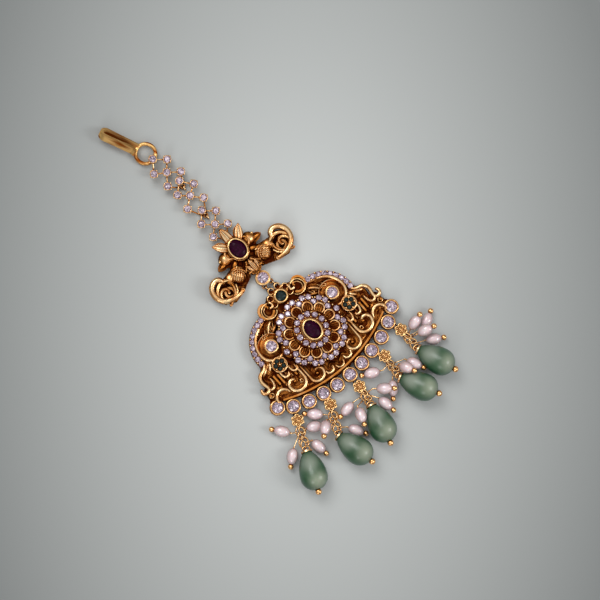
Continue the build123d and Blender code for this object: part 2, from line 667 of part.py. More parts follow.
def drop_flower(drop):
    x, y = drop["flower"]
    rim = RIM[drop["rim"]]
    body = Pos(x, y, 1.85) * Cylinder(0.8, 0.7)
    for i in range(6):
        px, py = polar((x, y), 0.85, 60 * i)
        body += Pos(px, py, 1.85) * Cylinder(0.6, 0.7)
    body += ball((x, y, 2.2), 0.5)
    up = heading(rim, (x, y))
    body += ring((*polar(rim, RIM_RADIUS + 0.85, up), EYE_Z), upright(up), 0.45, 0.15)
    down = heading((x, y), drop["cap"])
    body += ring((*polar((x, y), FLOWER_LOOP, down), RING_Z), upright(down), 0.5, 0.17)
    return body


def drop_rings(drop):
    centres = ring_centres(drop)
    solids = [ring((*centre, RING_Z), (0, 0, 1), radius, RING_WIRE)
              for centre, radius in zip(centres, drop["rings"])]
    if len(centres) == 2:
        down = heading(drop["flower"], drop["cap"])
        middle = polar(centres[0], drop["rings"][0] + LINK_STEP / 2, down)
        solids.append(ring((*middle, RING_Z), upright(down), 0.7, 0.15))
    return solids


def pin_loop(centre, target, onward):
    """Upright loop round a ring's wire, with its wire run on to a point and bent there."""
    edge = target - Vector(*centre)
    flat = unit(Vector(edge.X, edge.Y, 0))
    radius, wire = PIN_LOOP
    section = Rot(0, 0, PIN_GAP / 2) * (Plane.XZ * Pos(radius, 0) * Circle(wire))
    side = Vector(-flat.Y, flat.X, 0)
    body = Plane(origin=Vector(*centre), x_dir=flat, z_dir=side) * revolve(
        section, Axis.Z, 360 - PIN_GAP)
    start = Vector(*centre) + flat * (radius + 0.04)
    run = target - start
    body += Plane(origin=start, x_dir=flat * -1, z_dir=side) * Sphere(PIN_KNOT)
    body += bar(tuple(start), tuple(target), wire + 0.03)
    return body + elbow(target, run * -1, onward, PIN + 0.03)


def pearl_axis(row):
    root, tip = Vector(*row[3]), Vector(*row[4])
    return root, tip, unit(root - tip)


def pearl_pin(row):
    drop = DROPS[row[0]]
    centre = ring_centres(drop)[row[1]]
    hold = (*polar(centre, drop["rings"][row[1]], row[2]), RING_Z)
    root, tip, up = pearl_axis(row)
    body = pin_loop(hold, root, tip - root)
    body += bar(tuple(root), tuple(tip), PIN)
    return body + end_ball(tip, up, PEARL_BALL)


def pearl(row):
    """Drilled rice pearl against its pin's ball."""
    root, tip, up = pearl_axis(row)
    half, radius = PEARL
    shape = make_face([EllipticalCenterArc((0, 0), radius, half, -90, arc_size=180),
                       Line((0, half), (0, -half))])
    bead = revolve(Plane.XZ * shape, Axis.Z) - Cylinder(PIN + 0.1, 3 * half)
    return Plane(origin=tip + up * (half + PEARL_BALL - 0.05), z_dir=up) * bead


def drop_axis(drop):
    """Cap's middle, ball's middle and unit vector from ball to cap."""
    plan = Vector(*drop["cap"], 0) - Vector(*drop["ball"], 0)
    cap = Vector(*drop["cap"], 2.45)
    along = unit(Vector(plan.X, plan.Y, -0.2 * plan.length))
    return cap, along


def drop_bead(drop):
    cap, along = drop_axis(drop)
    side = 10.16
    face = make_face([
        Line((0, 0), (DROP_NECK, 0)),
        ThreePointArc((DROP_NECK, 0), (DROP_RADIUS - side + math.sqrt(side**2 - 3.25**2), -3.25),
                      (DROP_RADIUS, -6.5)),
        ThreePointArc((DROP_RADIUS, -6.5),
                      (DROP_RADIUS * math.sin(math.pi / 4), -6.5 - DROP_RADIUS * math.cos(math.pi / 4)),
                      (0, -DROP_LENGTH)),
        Line((0, -DROP_LENGTH), (0, 0))])
    bead = revolve(Plane.XZ * face, Axis.Z)
    bead -= Pos(0, 0, -DROP_LENGTH / 2) * Cylinder(PIN + 0.12, DROP_LENGTH + 2)
    return Plane(origin=cap - along * 0.3, z_dir=along) * bead


def drop_pin(drop):
    cap, along = drop_axis(drop)
    down = heading(drop["flower"], drop["cap"])
    centres = ring_centres(drop)
    last = len(centres) - 1
    hold = (*polar(centres[last], drop["rings"][last], down), RING_Z)
    end = cap - along * (DROP_LENGTH + 0.3 + 0.05 + DROP_BALL * 0.75)
    disc = Plane(origin=cap, z_dir=along) * Cylinder(
        DROP_NECK + 0.25, 0.4, align=(Align.CENTER, Align.CENTER, Align.CENTER))
    neck = cap + along * 0.35
    body = pin_loop(hold, neck, along * -1) + bar(tuple(neck), tuple(end), PIN)
    return body + disc + end_ball(end, along, DROP_BALL)


# ---- build every piece ----
def main():
    os.makedirs("parts", exist_ok=True)
    save("pendant_frame", pendant_frame())
    brilliant = cut_stone(RIM_STONE)
    for number, (x, y) in enumerate(RIM, start=1):
        save(f"rim_stone_{number}", Pos(x, y, RIM_GIRDLE) * brilliant)
    girdle = SIDE_TOP - 0.25
    save("side_stone_left", Pos(-SIDE_PLACE[0], SIDE_PLACE[1], girdle) * brilliant)
    save("side_stone_right", Pos(*SIDE_PLACE, girdle) * brilliant)
    save("top_stone", Pos(*TOP_PLACE, girdle) * brilliant)
    small = small_stone(SMALL_STONE)
    halo, cluster = halo_places(), cluster_places()
    save_many("halo_stones_right", [place * small for place in halo[:HALO_COUNT]])
    save_many("halo_stones_left", [place * small for place in halo[HALO_COUNT:]])
    save_many("green_cluster_right", [place * small for place in cluster[:5]])
    save_many("green_cluster_left", [place * small for place in cluster[5:]])

    save("rosette", rosette())
    save("rosette_stone", Pos(0, ROSETTE_Y, 5.7) * cut_stone(RUBY[0], RUBY[1] / RUBY[0]))
    save_many("rosette_inner_stones", [place * small for place in inner_places()])
    save_many("rosette_outer_stones", [place * small for place in outer_places()])

    save("crest", crest())
    save("crest_stone", CREST_PLACE * Pos(0, 28.7, 3.3)
         * cut_stone(CREST_RUBY[0], CREST_RUBY[1] / CREST_RUBY[0]))
    save("connector", connector())
    save("connector_stone", Pos(*CONNECTOR, RIM_GIRDLE) * brilliant)
    eyes = [(CONNECTOR[0] + x, CONNECTOR[1] + y) for x, y in CONNECTOR_EYES]
    save("connector_ring_left", joining_ring(eyes[0], (-PENDANT_EYE[0], PENDANT_EYE[1])))
    save("connector_ring_right", joining_ring(eyes[1], PENDANT_EYE))
    save("connector_top_ring", joining_ring(eyes[2], on_crest(0, CREST_LOW_EYE)))

    save_many("chain_settings", [chain_link(number) for number in range(len(CHAIN))])
    stone = small_stone(CUP_STONE)
    feet = [place for number in range(len(CHAIN)) for place in cup_places(number)]
    save_many("chain_stones", [Pos(x, y, z + CUP_HEIGHT - 0.1) * stone for x, y, z in feet])
    save("hair_hook", hair_hook())

    for number, drop in enumerate(DROPS, start=1):
        rows = [row for row in PEARLS if row[0] == number - 1]
        save(f"drop_flower_{number}", drop_flower(drop))
        save_many(f"drop_rings_{number}", drop_rings(drop))
        save_many(f"drop_pins_{number}", [drop_pin(drop)] + [pearl_pin(row) for row in rows])
        save_many(f"drop_pearls_{number}", [pearl(row) for row in rows])
        save(f"drop_bead_{number}", drop_bead(drop))


main()
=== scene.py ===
import math
from contextlib import contextmanager

import bpy
import numpy as np
from mathutils import Matrix, Vector


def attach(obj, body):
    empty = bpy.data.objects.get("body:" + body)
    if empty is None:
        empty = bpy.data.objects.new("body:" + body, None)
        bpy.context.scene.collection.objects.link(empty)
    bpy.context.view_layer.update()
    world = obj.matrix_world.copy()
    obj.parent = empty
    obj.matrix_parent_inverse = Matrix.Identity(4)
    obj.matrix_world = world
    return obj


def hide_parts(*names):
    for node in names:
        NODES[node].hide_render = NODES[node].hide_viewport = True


bl_info = {
    "name": "Maang tikka finish",
    "version": (1, 0, 0),
    "blender": (4, 5, 0),
    "location": "View3D > Sidebar > Jewel",
    "description": "Adds goldwork, finishes and a stage to a forehead jewel lying on its back",
    "category": "Add Mesh",
}

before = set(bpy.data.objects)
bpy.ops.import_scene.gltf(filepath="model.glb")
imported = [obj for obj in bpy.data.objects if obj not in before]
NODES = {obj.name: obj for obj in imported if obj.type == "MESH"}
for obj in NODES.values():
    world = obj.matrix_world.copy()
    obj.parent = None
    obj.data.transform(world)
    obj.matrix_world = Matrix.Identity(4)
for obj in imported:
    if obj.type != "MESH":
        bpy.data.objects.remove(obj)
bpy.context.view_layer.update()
BODY = "root"
MM = 0.001
# Points closer than this many metres are one.
MERGE = 1e-7
# Farther than any two points of the jewel, in millimetres.
FAR_AWAY = 1e3
# Height of a grain of gold as a share of its width.
CROWN = 0.85
# Degrees of a scroll's arc between two of its points.
ARC_STEP = 14
# How clean the casting is, taken with its height and the painted shade of its hollows, where open
# faces turn into rubbed ridges, and where it is bright with rubbed wear and painted highlight.
FACE_CLEAN, RIDGE_CLEAN = 0.38, 0.95
GOLD_TINT = (1.0, 0.8, 0.55, 1)

# Layout of the jewel in millimetres, the same as its solids have.
ROSETTE = (0.0, 0.3)
RELIEF_TOP = 2.3
RIM_TOP = 2.3
SIDE_TOP = 3.1
CLUSTER_TOP = 2.7
RIM_PLACES = [(0, -14.95), (4.3, -14.75), (8.4, -14.05), (12.6, -13.1), (16.55, -11.35),
              (19.85, -8.9)]
RIM = sorted(RIM_PLACES + [(-x, y) for x, y in RIM_PLACES if x > 0])
SIDE_PLACE = (10.6, 4.05)
TOP_PLACE = (0.0, 12.2)
HALO = (7.3, 2.7)
HALO_RADIUS = 8.2
HALO_EDGE = 8.95
HALO_FROM, HALO_TO, HALO_COUNT = -3.0, 84.0, 9
CLUSTER = (12.1, -0.9)
CONNECTOR = (-0.3, 18.8)
CREST_MIDDLE = (-0.25, 25.0)
CREST_TURN = math.radians(1.5)
CREST_OVAL = (0, 28.7)
# The chain's cups: height, base above the ground, and half the space of a pair.
CUP_HEIGHT = 1.3
CUP_BASE = 0.88
PAIR_HALF = 2.58
# Height of a drop's face, and the way from its cap to the ball below it.
DROP_TOP = 5.5
BEAD_END = 10.73
# Ends of the pearls' pins, and the radius of the balls on them.
PIN_TIPS = [
    (-24.7, -12.1, 1.55), (-27.4, -22.6, 1.55), (-18.2, -26.1, 1.55), (-13.6, -20.3, 1.45),
    (-15.6, -14.7, 1.6), (-16.1, -22.3, 5.3), (-7.0, -29.1, 1.55), (-9.1, -21.5, 1.55),
    (-6.1, -27.0, 4.6), (6.0, -25.2, 4.5), (2.2, -29.3, 3.0), (2.2, -17.2, 1.55),
    (4.3, -27.1, 1.55), (12.7, -25.2, 6.4), (15.5, -26.3, 3.2), (23.8, -15.3, 4.2),
    (26.9, -16.6, 1.55), (24.4, -20.0, 5.3), (24.9, -24.0, 1.55),
]
PIN_BALL = 0.76
# Turn that lays the hair hook's strip along x.
HOOK_TURN = math.radians(68)
# The rosette's petal cups: distance from its middle, and half sizes outwards and across.
PETAL_FAR = 5.98
PETAL = (1.36, 1.32)
PETAL_COUNT = 12
# Heights of the rosette's face: (distance from its middle, height).
DOME = [(0, 5.3), (3.0, 5.2), (5.0, 4.6), (5.2, 4.1), (7.1, 3.75), (7.3, 3.95), (9.7, 3.3)]
# The rosette's stones: half sizes and count of the inner ring, and the outer ring's two rows.
INNER_RING, INNER_COUNT = (3.75, 4.35), 13
OUTER_FAR, OUTER_NEAR = 8.65, 7.5
# Ribbed cup beside the top stone.
CUP_SCROLL = (4.9, 11.2)
# Each chain link: its middle's place, its lean in degrees, and how far along it its cups lie.
CHAIN = [
    dict(x=-0.84, y=55.8, turn=7.0, top=4.95, upper=2.15, lower=-2.6),
    dict(x=-0.34, y=47.3, turn=-6.0, top=4.7, upper=1.95, lower=-2.5),
    dict(x=-0.44, y=37.4, turn=1.5, top=5.0, upper=2.45, lower=-2.1),
]
# Each drop: its flower's place, its cap's place and its ball's place.
DROPS = [
    ((-18.15, -14.8), (-21.85, -22.4), (-27.0, -32.9)),
    ((-9.05, -17.4), (-12.85, -24.9), (-11.0, -35.3)),
    ((-0.25, -18.9), (-1.35, -24.7), (-4.2, -35.0)),
    ((9.95, -17.3), (9.25, -24.2), (13.7, -33.6)),
    ((17.7, -15.1), (17.65, -21.9), (21.4, -32.6)),
]
# Raised scrolls: start, heading, arcs of (radius, turn in degrees), width. A turn of 0 is a
# straight run of that length. The left half mirrors the right one.
SCROLLS = [
    (7.6, 2.3, -62, [(3.55, 150), (5.6, 78)], 0.55),
    (6.7, 8.9, -20, [(4.2, -40)], 0.45),
    (9.2, -3.2, -90, [(4.0, 0), (2.4, 180), (1.35, 130)], 0.6),
    (8.35, -4.6, -90, [(4.4, 0), (2.0, -180), (1.15, -120)], 0.5),
    (14.6, -7.9, 84, [(2.1, -150), (1.1, -70)], 0.55),
    (15.2, 1.6, -60, [(2.2, 55), (1.9, -95), (1.6, 0), (0.95, 230)], 0.6),
    (13.9, 1.0, -75, [(1.6, 40), (1.5, -30)], 0.5),
    (10.6, -2.6, -70, [(1.9, -60), (0.8, -150)], 0.45),
    (13.2, -1.9, -60, [(2.2, -65), (0.8, -140)], 0.45),
    (16.3, -2.2, -100, [(2.4, 55), (0.8, 150)], 0.45),
    (3.7, 12.9, -170, [(0.7, 150), (0.5, 90)], 0.45),
    (1.9, -10.2, -90, [(1.15, 180)], 0.4),
]
CREST_SCROLLS = [
    (6.3, 19.9, -15, [(6.5, 40), (3.6, 85), (2.7, 60), (1.5, 100)], 1.7),
    (7.4, 23.4, -100, [(3.0, 75), (2.2, 0)], 0.8),
    (2.9, 30.3, -20, [(1.3, -150)], 0.7),
    (0.8, 24.6, -60, [(4.5, 30)], 0.5),
    (0.5, 22.2, -30, [(2.2, 40)], 0.5),
]
# Cast golds: name, heights of dark metal (tarnish and painted shade) and of rubbed metal (wear and
# painted highlight) in millimetres, tarnish, reach of the dark (patina and painted shade) in
# hollows in millimetres, and the ridges' colour, rubbed wear and painted highlight, where it isn't
# the jewel's own.
GOLDS = [
    ("pendant_gold", 1.0, 3.6, 0.45, 1.8), ("rosette_gold", 4.2, 10.5, 0.5, 1.5),
    ("petal_gold", 3.8, 5.6, 0.4, 1.1), ("crest_gold", 1.1, 3.4, 0.4, 1.8),
    ("lotus_gold", 3.0, 3.6, 0.15, 0.6, (0.98, 0.72, 0.42)),
    ("ground_gold", 1.3, 2.5, 0.5, 1.3), ("crest_ground_gold", 1.8, 3.8, 0.4, 1.2),
    ("chain_gold", 0.2, 1.9, 0.2, 0.8), ("bright_gold", -1.0, 0.3, 0.3, 0.8, (0.95, 0.62, 0.28)),
    ("ball_gold", -1.0, 0.3, 0.2, 0.8, (1.0, 0.56, 0.24)), ("shell_gold", 1.6, 4.2, 0.45, 1.5),
    ("rim_gold", 2.6, 5.6, 0.4, 1.2), ("scroll_gold", 0.4, 2.9, 0.5, 1.5),
    ("channel_gold", 1.3, 2.6, 0.1, 0.8),
]
# Finish of each solid by a word of its name; the first that fits is used.
FINISHES = [
    ("drop_pearls", "rice_pearl"), ("rosette_stone", "cut_red"), ("crest_stone", "cut_red"),
    ("top_stone", "cut_green"), ("green_cluster", "cut_green"), ("stone", "cut_white"),
    ("pendant_frame", "pendant_gold"), ("rosette", "rosette_gold"), ("crest", "crest_gold"),
    ("hair_hook", "hook_gold"), ("", "chain_gold"),
]


# ---- selecting, adding and finishing pieces ----
def select(*pieces):
    """Leaves the given pieces selected, the first of them active."""
    bpy.ops.object.select_all(action="DESELECT")
    for piece in pieces:
        piece.select_set(True)
    bpy.context.view_layer.objects.active = pieces[0]


def added(operator, **settings):
    """The piece that an add operator makes, the only one selected."""
    bpy.ops.object.select_all(action="DESELECT")
    operator(**settings)
    return bpy.context.object


def combined(pieces):
    """Joins pieces into one."""
    select(*pieces)
    if len(pieces) > 1:
        bpy.ops.object.join()
    return bpy.context.object


@contextmanager
def editing(action="SELECT"):
    """Edit mode of the active piece, with all of its mesh selected or none of it."""
    bpy.ops.object.mode_set(mode="EDIT")
    bpy.ops.mesh.select_all(action=action)
    yield
    bpy.ops.object.mode_set(mode="OBJECT")


def clean():
    """In edit mode, merges doubled vertices and turns the faces outwards."""
    bpy.ops.mesh.select_all(action="SELECT")
    bpy.ops.mesh.remove_doubles(threshold=MERGE)
    bpy.ops.mesh.normals_make_consistent(inside=False)


def finish(piece, name, material):
    """Names a finished piece, gives it its material and sets it on the jewel."""
    piece.name = name
    piece.data.name = name
    piece.data.materials.clear()
    piece.data.materials.append(bpy.data.materials[material])
    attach(piece, BODY)
    return piece


# ---- points and runs of points, in millimetres ----
def turned(x, y, angle):
    """A plan point, or arrays of them, turned about the origin by an angle in radians."""
    return x * math.cos(angle) - y * math.sin(angle), x * math.sin(angle) + y * math.cos(angle)


def around(middle, far, angle):
    """Point at a distance from a middle, at an angle in degrees."""
    return (middle[0] + far * math.cos(math.radians(angle)),
            middle[1] + far * math.sin(math.radians(angle)))


def mirror_place(place):
    """The same place in the left half."""
    return (-place[0], *place[1:])


def both(runs):
    """Runs with their mirror images across the middle."""
    return runs + [[mirror_place(point) for point in run] for run in runs]


def both_discs(discs):
    """Discs (x, y, radius) with their mirror images."""
    return discs + [mirror_place(disc) for disc in discs]


def crested(run):
    """A run of the crest's own plan, as the crest lies."""
    laid = []
    for x, y, *rest in run:
        px, py = turned(x, y - CREST_MIDDLE[1], CREST_TURN)
        laid.append((CREST_MIDDLE[0] + px, CREST_MIDDLE[1] + py, *rest))
    return laid


def scroll(x, y, heading, arcs, width, z):
    """Points (x, y, z, radius) along a scroll, thinner at its ends."""
    path = [(x, y)]
    for radius, turn in arcs:
        if turn == 0:
            path += [around((x, y), radius * step / 3, heading) for step in range(1, 4)]
        else:
            side = 1 if turn > 0 else -1
            middle = around((x, y), radius, heading + 90 * side)
            count = max(3, int(abs(turn) / ARC_STEP))
            for step in range(1, count + 1):
                path.append(around(middle, radius, heading - 90 * side + turn * step / count))
            heading += turn
        x, y = path[-1]
    run = []
    for number, (px, py) in enumerate(path):
        share = number / (len(path) - 1)
        swell = min(1.0, 0.55 + share * 3.0, 0.7 + (1 - share) * 3.0)
        run.append((px, py, z, width * 0.5 * swell))
    return run


def loop(cx, cy, rx, ry, z, wire, start=0.0, turn=360.0, lean=0.0, count=28):
    """Points round an ellipse, from a start angle through a turn, both in degrees."""
    steps = max(5, int(count * abs(turn) / 360))
    run = []
    for step in range(steps if abs(turn) >= 360 else steps + 1):
        angle = math.radians(start + turn * step / steps)
        px, py = turned(rx * math.cos(angle), ry * math.sin(angle), math.radians(lean))
        run.append((cx + px, cy + py, z, wire))
    return run


def ring(place, radius, z, wire, **more):
    """Round loop about a place."""
    return loop(*place, radius, radius, z, wire, **more)


def ridged(run, depth=0.2):
    """The same run with rope-like ridges, one to each point."""
    ropes = []
    for (x0, y0, z0, r0), (x1, y1, z1, r1) in zip(run, run[1:]):
        for share, swell in ((0.0, 1 + depth), (0.5, 1 - depth)):
            ropes.append((x0 + (x1 - x0) * share, y0 + (y1 - y0) * share,
                          z0 + (z1 - z0) * share, (r0 + (r1 - r0) * share) * swell))
    return ropes + [run[-1]]


# ---- pieces from points ----
def wirework(name, runs, material, closed=()):
    """One piece of round wires laid along runs of points; closed lists the runs that are rings."""
    piece = added(bpy.ops.curve.primitive_nurbs_path_add)
    curve = piece.data
    curve.splines.clear()
    curve.dimensions = "3D"
    curve.twist_mode = "Z_UP"
    curve.bevel_depth = MM
    curve.bevel_resolution = 2
    curve.resolution_u = 2
    curve.use_fill_caps = True
    for number, run in enumerate(runs):
        spline = curve.splines.new("NURBS")
        spline.points.add(len(run) - 1)
        for point, (x, y, z, radius) in zip(spline.points, run):
            point.co = (x * MM, y * MM, z * MM, 1)
            point.radius = radius
        spline.order_u = 3
        spline.use_cyclic_u = number in closed
        spline.use_endpoint_u = number not in closed
    piece.location = (0, 0, 0)
    select(piece)
    bpy.ops.object.convert(target="MESH")
    with editing():
        clean()
    bpy.ops.object.shade_smooth_by_angle(angle=math.radians(50))
    return finish(bpy.context.object, name, material)


def ringwork(name, rings, material):
    """One piece of closed wire rings."""
    return wirework(name, rings, material, closed=range(len(rings)))


def granules(name, places, material="bright_gold"):
    """One piece of gold grains at places (x, y, z, radius), each with a flattened crown."""
    grain = added(bpy.ops.mesh.primitive_ico_sphere_add, subdivisions=2, radius=1.0)
    with editing():
        bpy.ops.transform.resize(value=(1, 1, CROWN))
    copies = []
    for x, y, z, radius in places:
        copy = grain.copy()
        copy.data = grain.data.copy()
        copy.data.transform(Matrix.Translation((x * MM, y * MM, z * MM))
                            @ Matrix.Scale(radius * MM, 4))
        bpy.context.collection.objects.link(copy)
        copies.append(copy)
    piece = combined(copies)
    bpy.ops.object.shade_smooth()
    bpy.data.objects.remove(grain)
    return finish(piece, name, material)


def spun(profile, cx, cy):
    """Ring of metal turned about an upright axis from a closed outline of (radius, height)."""
    piece = added(bpy.ops.mesh.primitive_circle_add, vertices=len(profile), radius=MM)
    for vertex, (radius, height) in zip(piece.data.vertices, profile):
        vertex.co = ((cx + radius) * MM, cy * MM, height * MM)
    with editing():
        bpy.ops.mesh.spin(steps=40, angle=2 * math.pi, center=(cx * MM, cy * MM, 0),
                          axis=(0, 0, 1))
        clean()
    return piece


def reset_stones(nodes, share, raised, name, material):
    """The named nodes' stones, each larger by a share and set a little higher in its seat."""
    copies = [bpy.data.objects.new(name, NODES[node].data.copy()) for node in nodes]
    for copy in copies:
        bpy.context.collection.objects.link(copy)
    combined(copies)
    with editing():
        bpy.ops.mesh.customdata_custom_splitnormals_clear()
        bpy.ops.mesh.remove_doubles(threshold=MERGE)
        bpy.ops.mesh.separate(type="LOOSE")
    for stone in bpy.context.selected_objects:
        middle = sum((Vector(corner) for corner in stone.bound_box), Vector()) / 8
        grown = Matrix.Translation(middle + Vector((0, 0, raised * MM))) @ Matrix.Scale(share, 4)
        stone.data.transform(grown @ Matrix.Translation(-middle))
    bpy.ops.object.join()
    piece = bpy.context.object
    bpy.ops.object.shade_flat()
    finish(piece, name, material)
    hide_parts(*nodes)
    return piece


# ---- chased relief ----
def distance_to(grid, run):
    """Distance of each grid point to a run of points, less the run's own radius there."""
    points = np.array([point[:2] for point in run], float)
    radii = np.array([point[3] for point in run], float)
    best = np.full(len(grid), FAR_AWAY)
    for number in range(len(points) - 1):
        start, end = points[number], points[number + 1]
        span = end - start
        share = ((grid - start) @ span) / max(1e-9, span @ span)
        share = np.clip(share, 0, 1)
        near = start + share[:, None] * span
        thick = radii[number] + (radii[number + 1] - radii[number]) * share
        best = np.minimum(best, np.hypot(*(grid - near).T) - thick)
    return best


def waves(place, pitch):
    """Fine ridges, one to each pitch."""
    return np.cos(2 * math.pi * place / pitch)


def chased(grid, runs, swell, reach, lines, depth):
    """Height of swellings that follow the nearest run, with fine lines chased beside it."""
    away = np.full(len(grid), FAR_AWAY)
    for run in runs:
        away = np.minimum(away, distance_to(grid, run))
    away = np.maximum(away, 0)
    fade = np.exp(-(away / reach) ** 2)
    return swell * fade + depth * waves(away, lines) * np.exp(-away / (3 * lines))


def relief(name, low, high, step, shape, material, thick=0.3):
    """Sheet of chased relief on a grid; shape(points) gives heights and where they hold."""
    width, length = high[0] - low[0], high[1] - low[1]
    sheet = added(bpy.ops.mesh.primitive_grid_add, x_subdivisions=int(width / step),
                  y_subdivisions=int(length / step), size=1)
    spots = np.empty(len(sheet.data.vertices) * 3)
    sheet.data.vertices.foreach_get("co", spots)
    spots = spots.reshape(-1, 3)
    grid = np.column_stack(((spots[:, 0] + 0.5) * width + low[0],
                            (spots[:, 1] + 0.5) * length + low[1]))
    tall, shown = shape(grid)
    lifted = np.column_stack((grid, tall)) * MM
    sheet.data.vertices.foreach_set("co", lifted.ravel())
    sheet.data.update()
    bpy.ops.object.mode_set(mode="EDIT")
    bpy.ops.mesh.select_all(action="DESELECT")
    bpy.ops.object.mode_set(mode="OBJECT")
    sheet.data.vertices.foreach_set("select", ~shown)
    bpy.ops.object.mode_set(mode="EDIT")
    bpy.ops.mesh.select_mode(type="VERT")
    bpy.ops.mesh.delete(type="VERT")
    bpy.ops.object.mode_set(mode="OBJECT")
    solid = sheet.modifiers.new("thickness", "SOLIDIFY")
    solid.thickness = thick * MM
    solid.offset = -1
    bpy.ops.object.modifier_apply(modifier=solid.name)
    bpy.ops.object.shade_smooth()
    return finish(sheet, name, material)


def within(grid, outline):
    """True where a point lies inside a closed outline."""
    found = np.zeros(len(grid), bool)
    x, y = grid[:, 0], grid[:, 1]
    for (x0, y0), (x1, y1) in zip(outline, outline[1:] + outline[:1]):
        if y0 == y1:
            continue
        crossing = (y0 > y) != (y1 > y)
        found ^= crossing & (x < x0 + (y - y0) * (x1 - x0) / (y1 - y0))
    return found


def near_any(grid, discs):
    """True where a point lies in one of the discs (x, y, radius)."""
    found = np.zeros(len(grid), bool)
    for x, y, radius in discs:
        found |= np.hypot(grid[:, 0] - x, grid[:, 1] - y) < radius
    return found


def mound(grid, x, y, rx, ry, lean, top):
    """Height of a rounded oval swelling."""
    u, v = turned(grid[:, 0] - x, grid[:, 1] - y, -math.radians(lean))
    return top * np.sqrt(np.clip(1 - (u / rx) ** 2 - (v / ry) ** 2, 0, 1))


def dome_height(radius):
    """Height of the rosette's face at a distance from its middle."""
    for (r0, z0), (r1, z1) in zip(DOME, DOME[1:]):
        if radius <= r1:
            return z0 + (z1 - z0) * (radius - r0) / (r1 - r0)
    return DOME[-1][1]


# ---- shader helpers ----
def feed(tree, made, inputs):
    """Links a node's inputs to other nodes' sockets, or sets them to plain values."""
    for key, value in inputs.items():
        if isinstance(value, bpy.types.NodeSocket):
            tree.links.new(value, made.inputs[key])
        else:
            made.inputs[key].default_value = value


def node(tree, kind, inputs=None, **settings):
    """Adds a shader node with its settings, and feeds its inputs."""
    made = tree.nodes.new("ShaderNode" + kind)
    for key, value in settings.items():
        setattr(made, key, value)
    feed(tree, made, inputs or {})
    return made


def own_place(tree):
    """Place on the piece, in the jewel's frame."""
    return node(tree, "TexCoord").outputs["Object"]


def noise(tree, place, scale, detail):
    """Cloudy noise, from 0 to 1."""
    made = node(tree, "TexNoise", {"Vector": place, "Scale": scale, "Detail": detail})
    return made.outputs["Fac"]


def ranged(tree, value, low, high, start=0.0, end=1.0, smooth=False):
    """A value's place between low and high, laid out from start to end."""
    made = node(tree, "MapRange", {"Value": value, "From Min": low, "From Max": high,
                                   "To Min": start, "To Max": end},
                interpolation_type="SMOOTHSTEP" if smooth else "LINEAR")
    return made.outputs["Result"]


def mixed(tree, share, first, second):
    """Colour that goes from the first to the second by a share."""
    return node(tree, "Mix", {"Factor": share, 6: first, 7: second}, data_type="RGBA").outputs[2]


def maths(tree, operation, *values, clamped=False):
    """Result of arithmetic on numbers."""
    made = node(tree, "Math", dict(enumerate(values)), operation=operation, use_clamp=clamped)
    return made.outputs["Value"]


def vector_maths(tree, operation, *values, output="Vector"):
    """Result of arithmetic on places."""
    return node(tree, "VectorMath", dict(enumerate(values)), operation=operation).outputs[output]


def edge_shade(tree, blend, middle, edge):
    """Painted edge shading: colour that goes to a painted edge colour where the surface is seen
    aslant.
    """
    facing = node(tree, "LayerWeight", {"Blend": blend}).outputs["Facing"]
    return mixed(tree, facing, middle, edge)


def opaque(colour_value):
    """Colour with its alpha."""
    return (*colour_value, 1)


def new_group(name, inputs, outputs):
    """New node group from its inputs (label, default) and outputs (label, kind of socket)."""
    group = bpy.data.node_groups.new(name, "ShaderNodeTree")
    for label, value in inputs:
        kind = {1: "Float", 3: "Vector", 4: "Color"}[np.size(value)]
        socket = group.interface.new_socket(name=label, in_out="INPUT",
                                            socket_type="NodeSocket" + kind)
        socket.default_value = value
    for label, kind in outputs:
        group.interface.new_socket(name=label, in_out="OUTPUT", socket_type="NodeSocket" + kind)
    source = group.nodes.new("NodeGroupInput")
    return group, source.outputs, group.nodes.new("NodeGroupOutput")


def placed_group(tree, name, values):
    """Outputs of a node group laid in a material's tree with its values."""
    made = node(tree, "Group", node_tree=bpy.data.node_groups[name])
    feed(tree, made, values)
    return made.outputs


# ---- shader groups ----
def cast_gold_group():
    """Oxidised casting with painted light: dark in the hollows and low places (patina and painted
    shade), orange on the faces, pale on the high ridges (rubbed wear and painted highlight).
    """
    group, given, result = new_group(
        "oxidised_casting_with_painted_light",
        [("Bright", (1, 0.6, 0.2, 1)), ("Body", (0.6, 0.25, 0.05, 1)),
         ("Tarnish And Shade", (0.05, 0.015, 0.008, 1)), ("Low", 0.0), ("High", 0.003),
         ("Hollow Reach", 0.001), ("Tarnish Amount", 0.5), ("Grain Size", 900.0)],
        [("Color", "Color"), ("Roughness", "Float"), ("Height", "Float")])
    place = own_place(group)
    height = node(group, "SeparateXYZ", {0: place}).outputs["Z"]
    # Lower places are painted darker and higher ones paler: patina below and wear above, with
    # painted shade and painted light.
    rise = ranged(group, height, given["Low"], given["High"], start=0.2, smooth=True)
    # Ambient occlusion darkens the hollows with their patina and with painted shade.
    hollow_patina_and_shade = node(group, "AmbientOcclusion", {"Distance": given["Hollow Reach"]}, samples=6)
    patch = noise(group, place, 420.0, 4.0)
    fine = noise(group, place, given["Grain Size"], 5.0)
    deepened = maths(group, "POWER", hollow_patina_and_shade.outputs["AO"], 2.6)
    loss = maths(group, "MULTIPLY", ranged(group, patch, 0.35, 0.75), given["Tarnish Amount"])
    clean = maths(group, "SUBTRACT", maths(group, "MULTIPLY", rise, deepened), loss, clamped=True)
    faces = ranged(group, clean, 0.0, FACE_CLEAN, smooth=True)
    ridges = ranged(group, clean, FACE_CLEAN, RIDGE_CLEAN, smooth=True)
    tone = mixed(group, faces, given["Tarnish And Shade"], given["Body"])
    # Dark end: tarnish with painted shade. Pale end: rubbed wear with painted highlight.
    feed(group, result, {
        "Color": mixed(group, ridges, tone, given["Bright"]),
        "Roughness": ranged(group, clean, 0.0, 1.0, start=0.5, end=0.2),
        "Height": maths(group, "MULTIPLY_ADD", patch, 1.5, fine)})


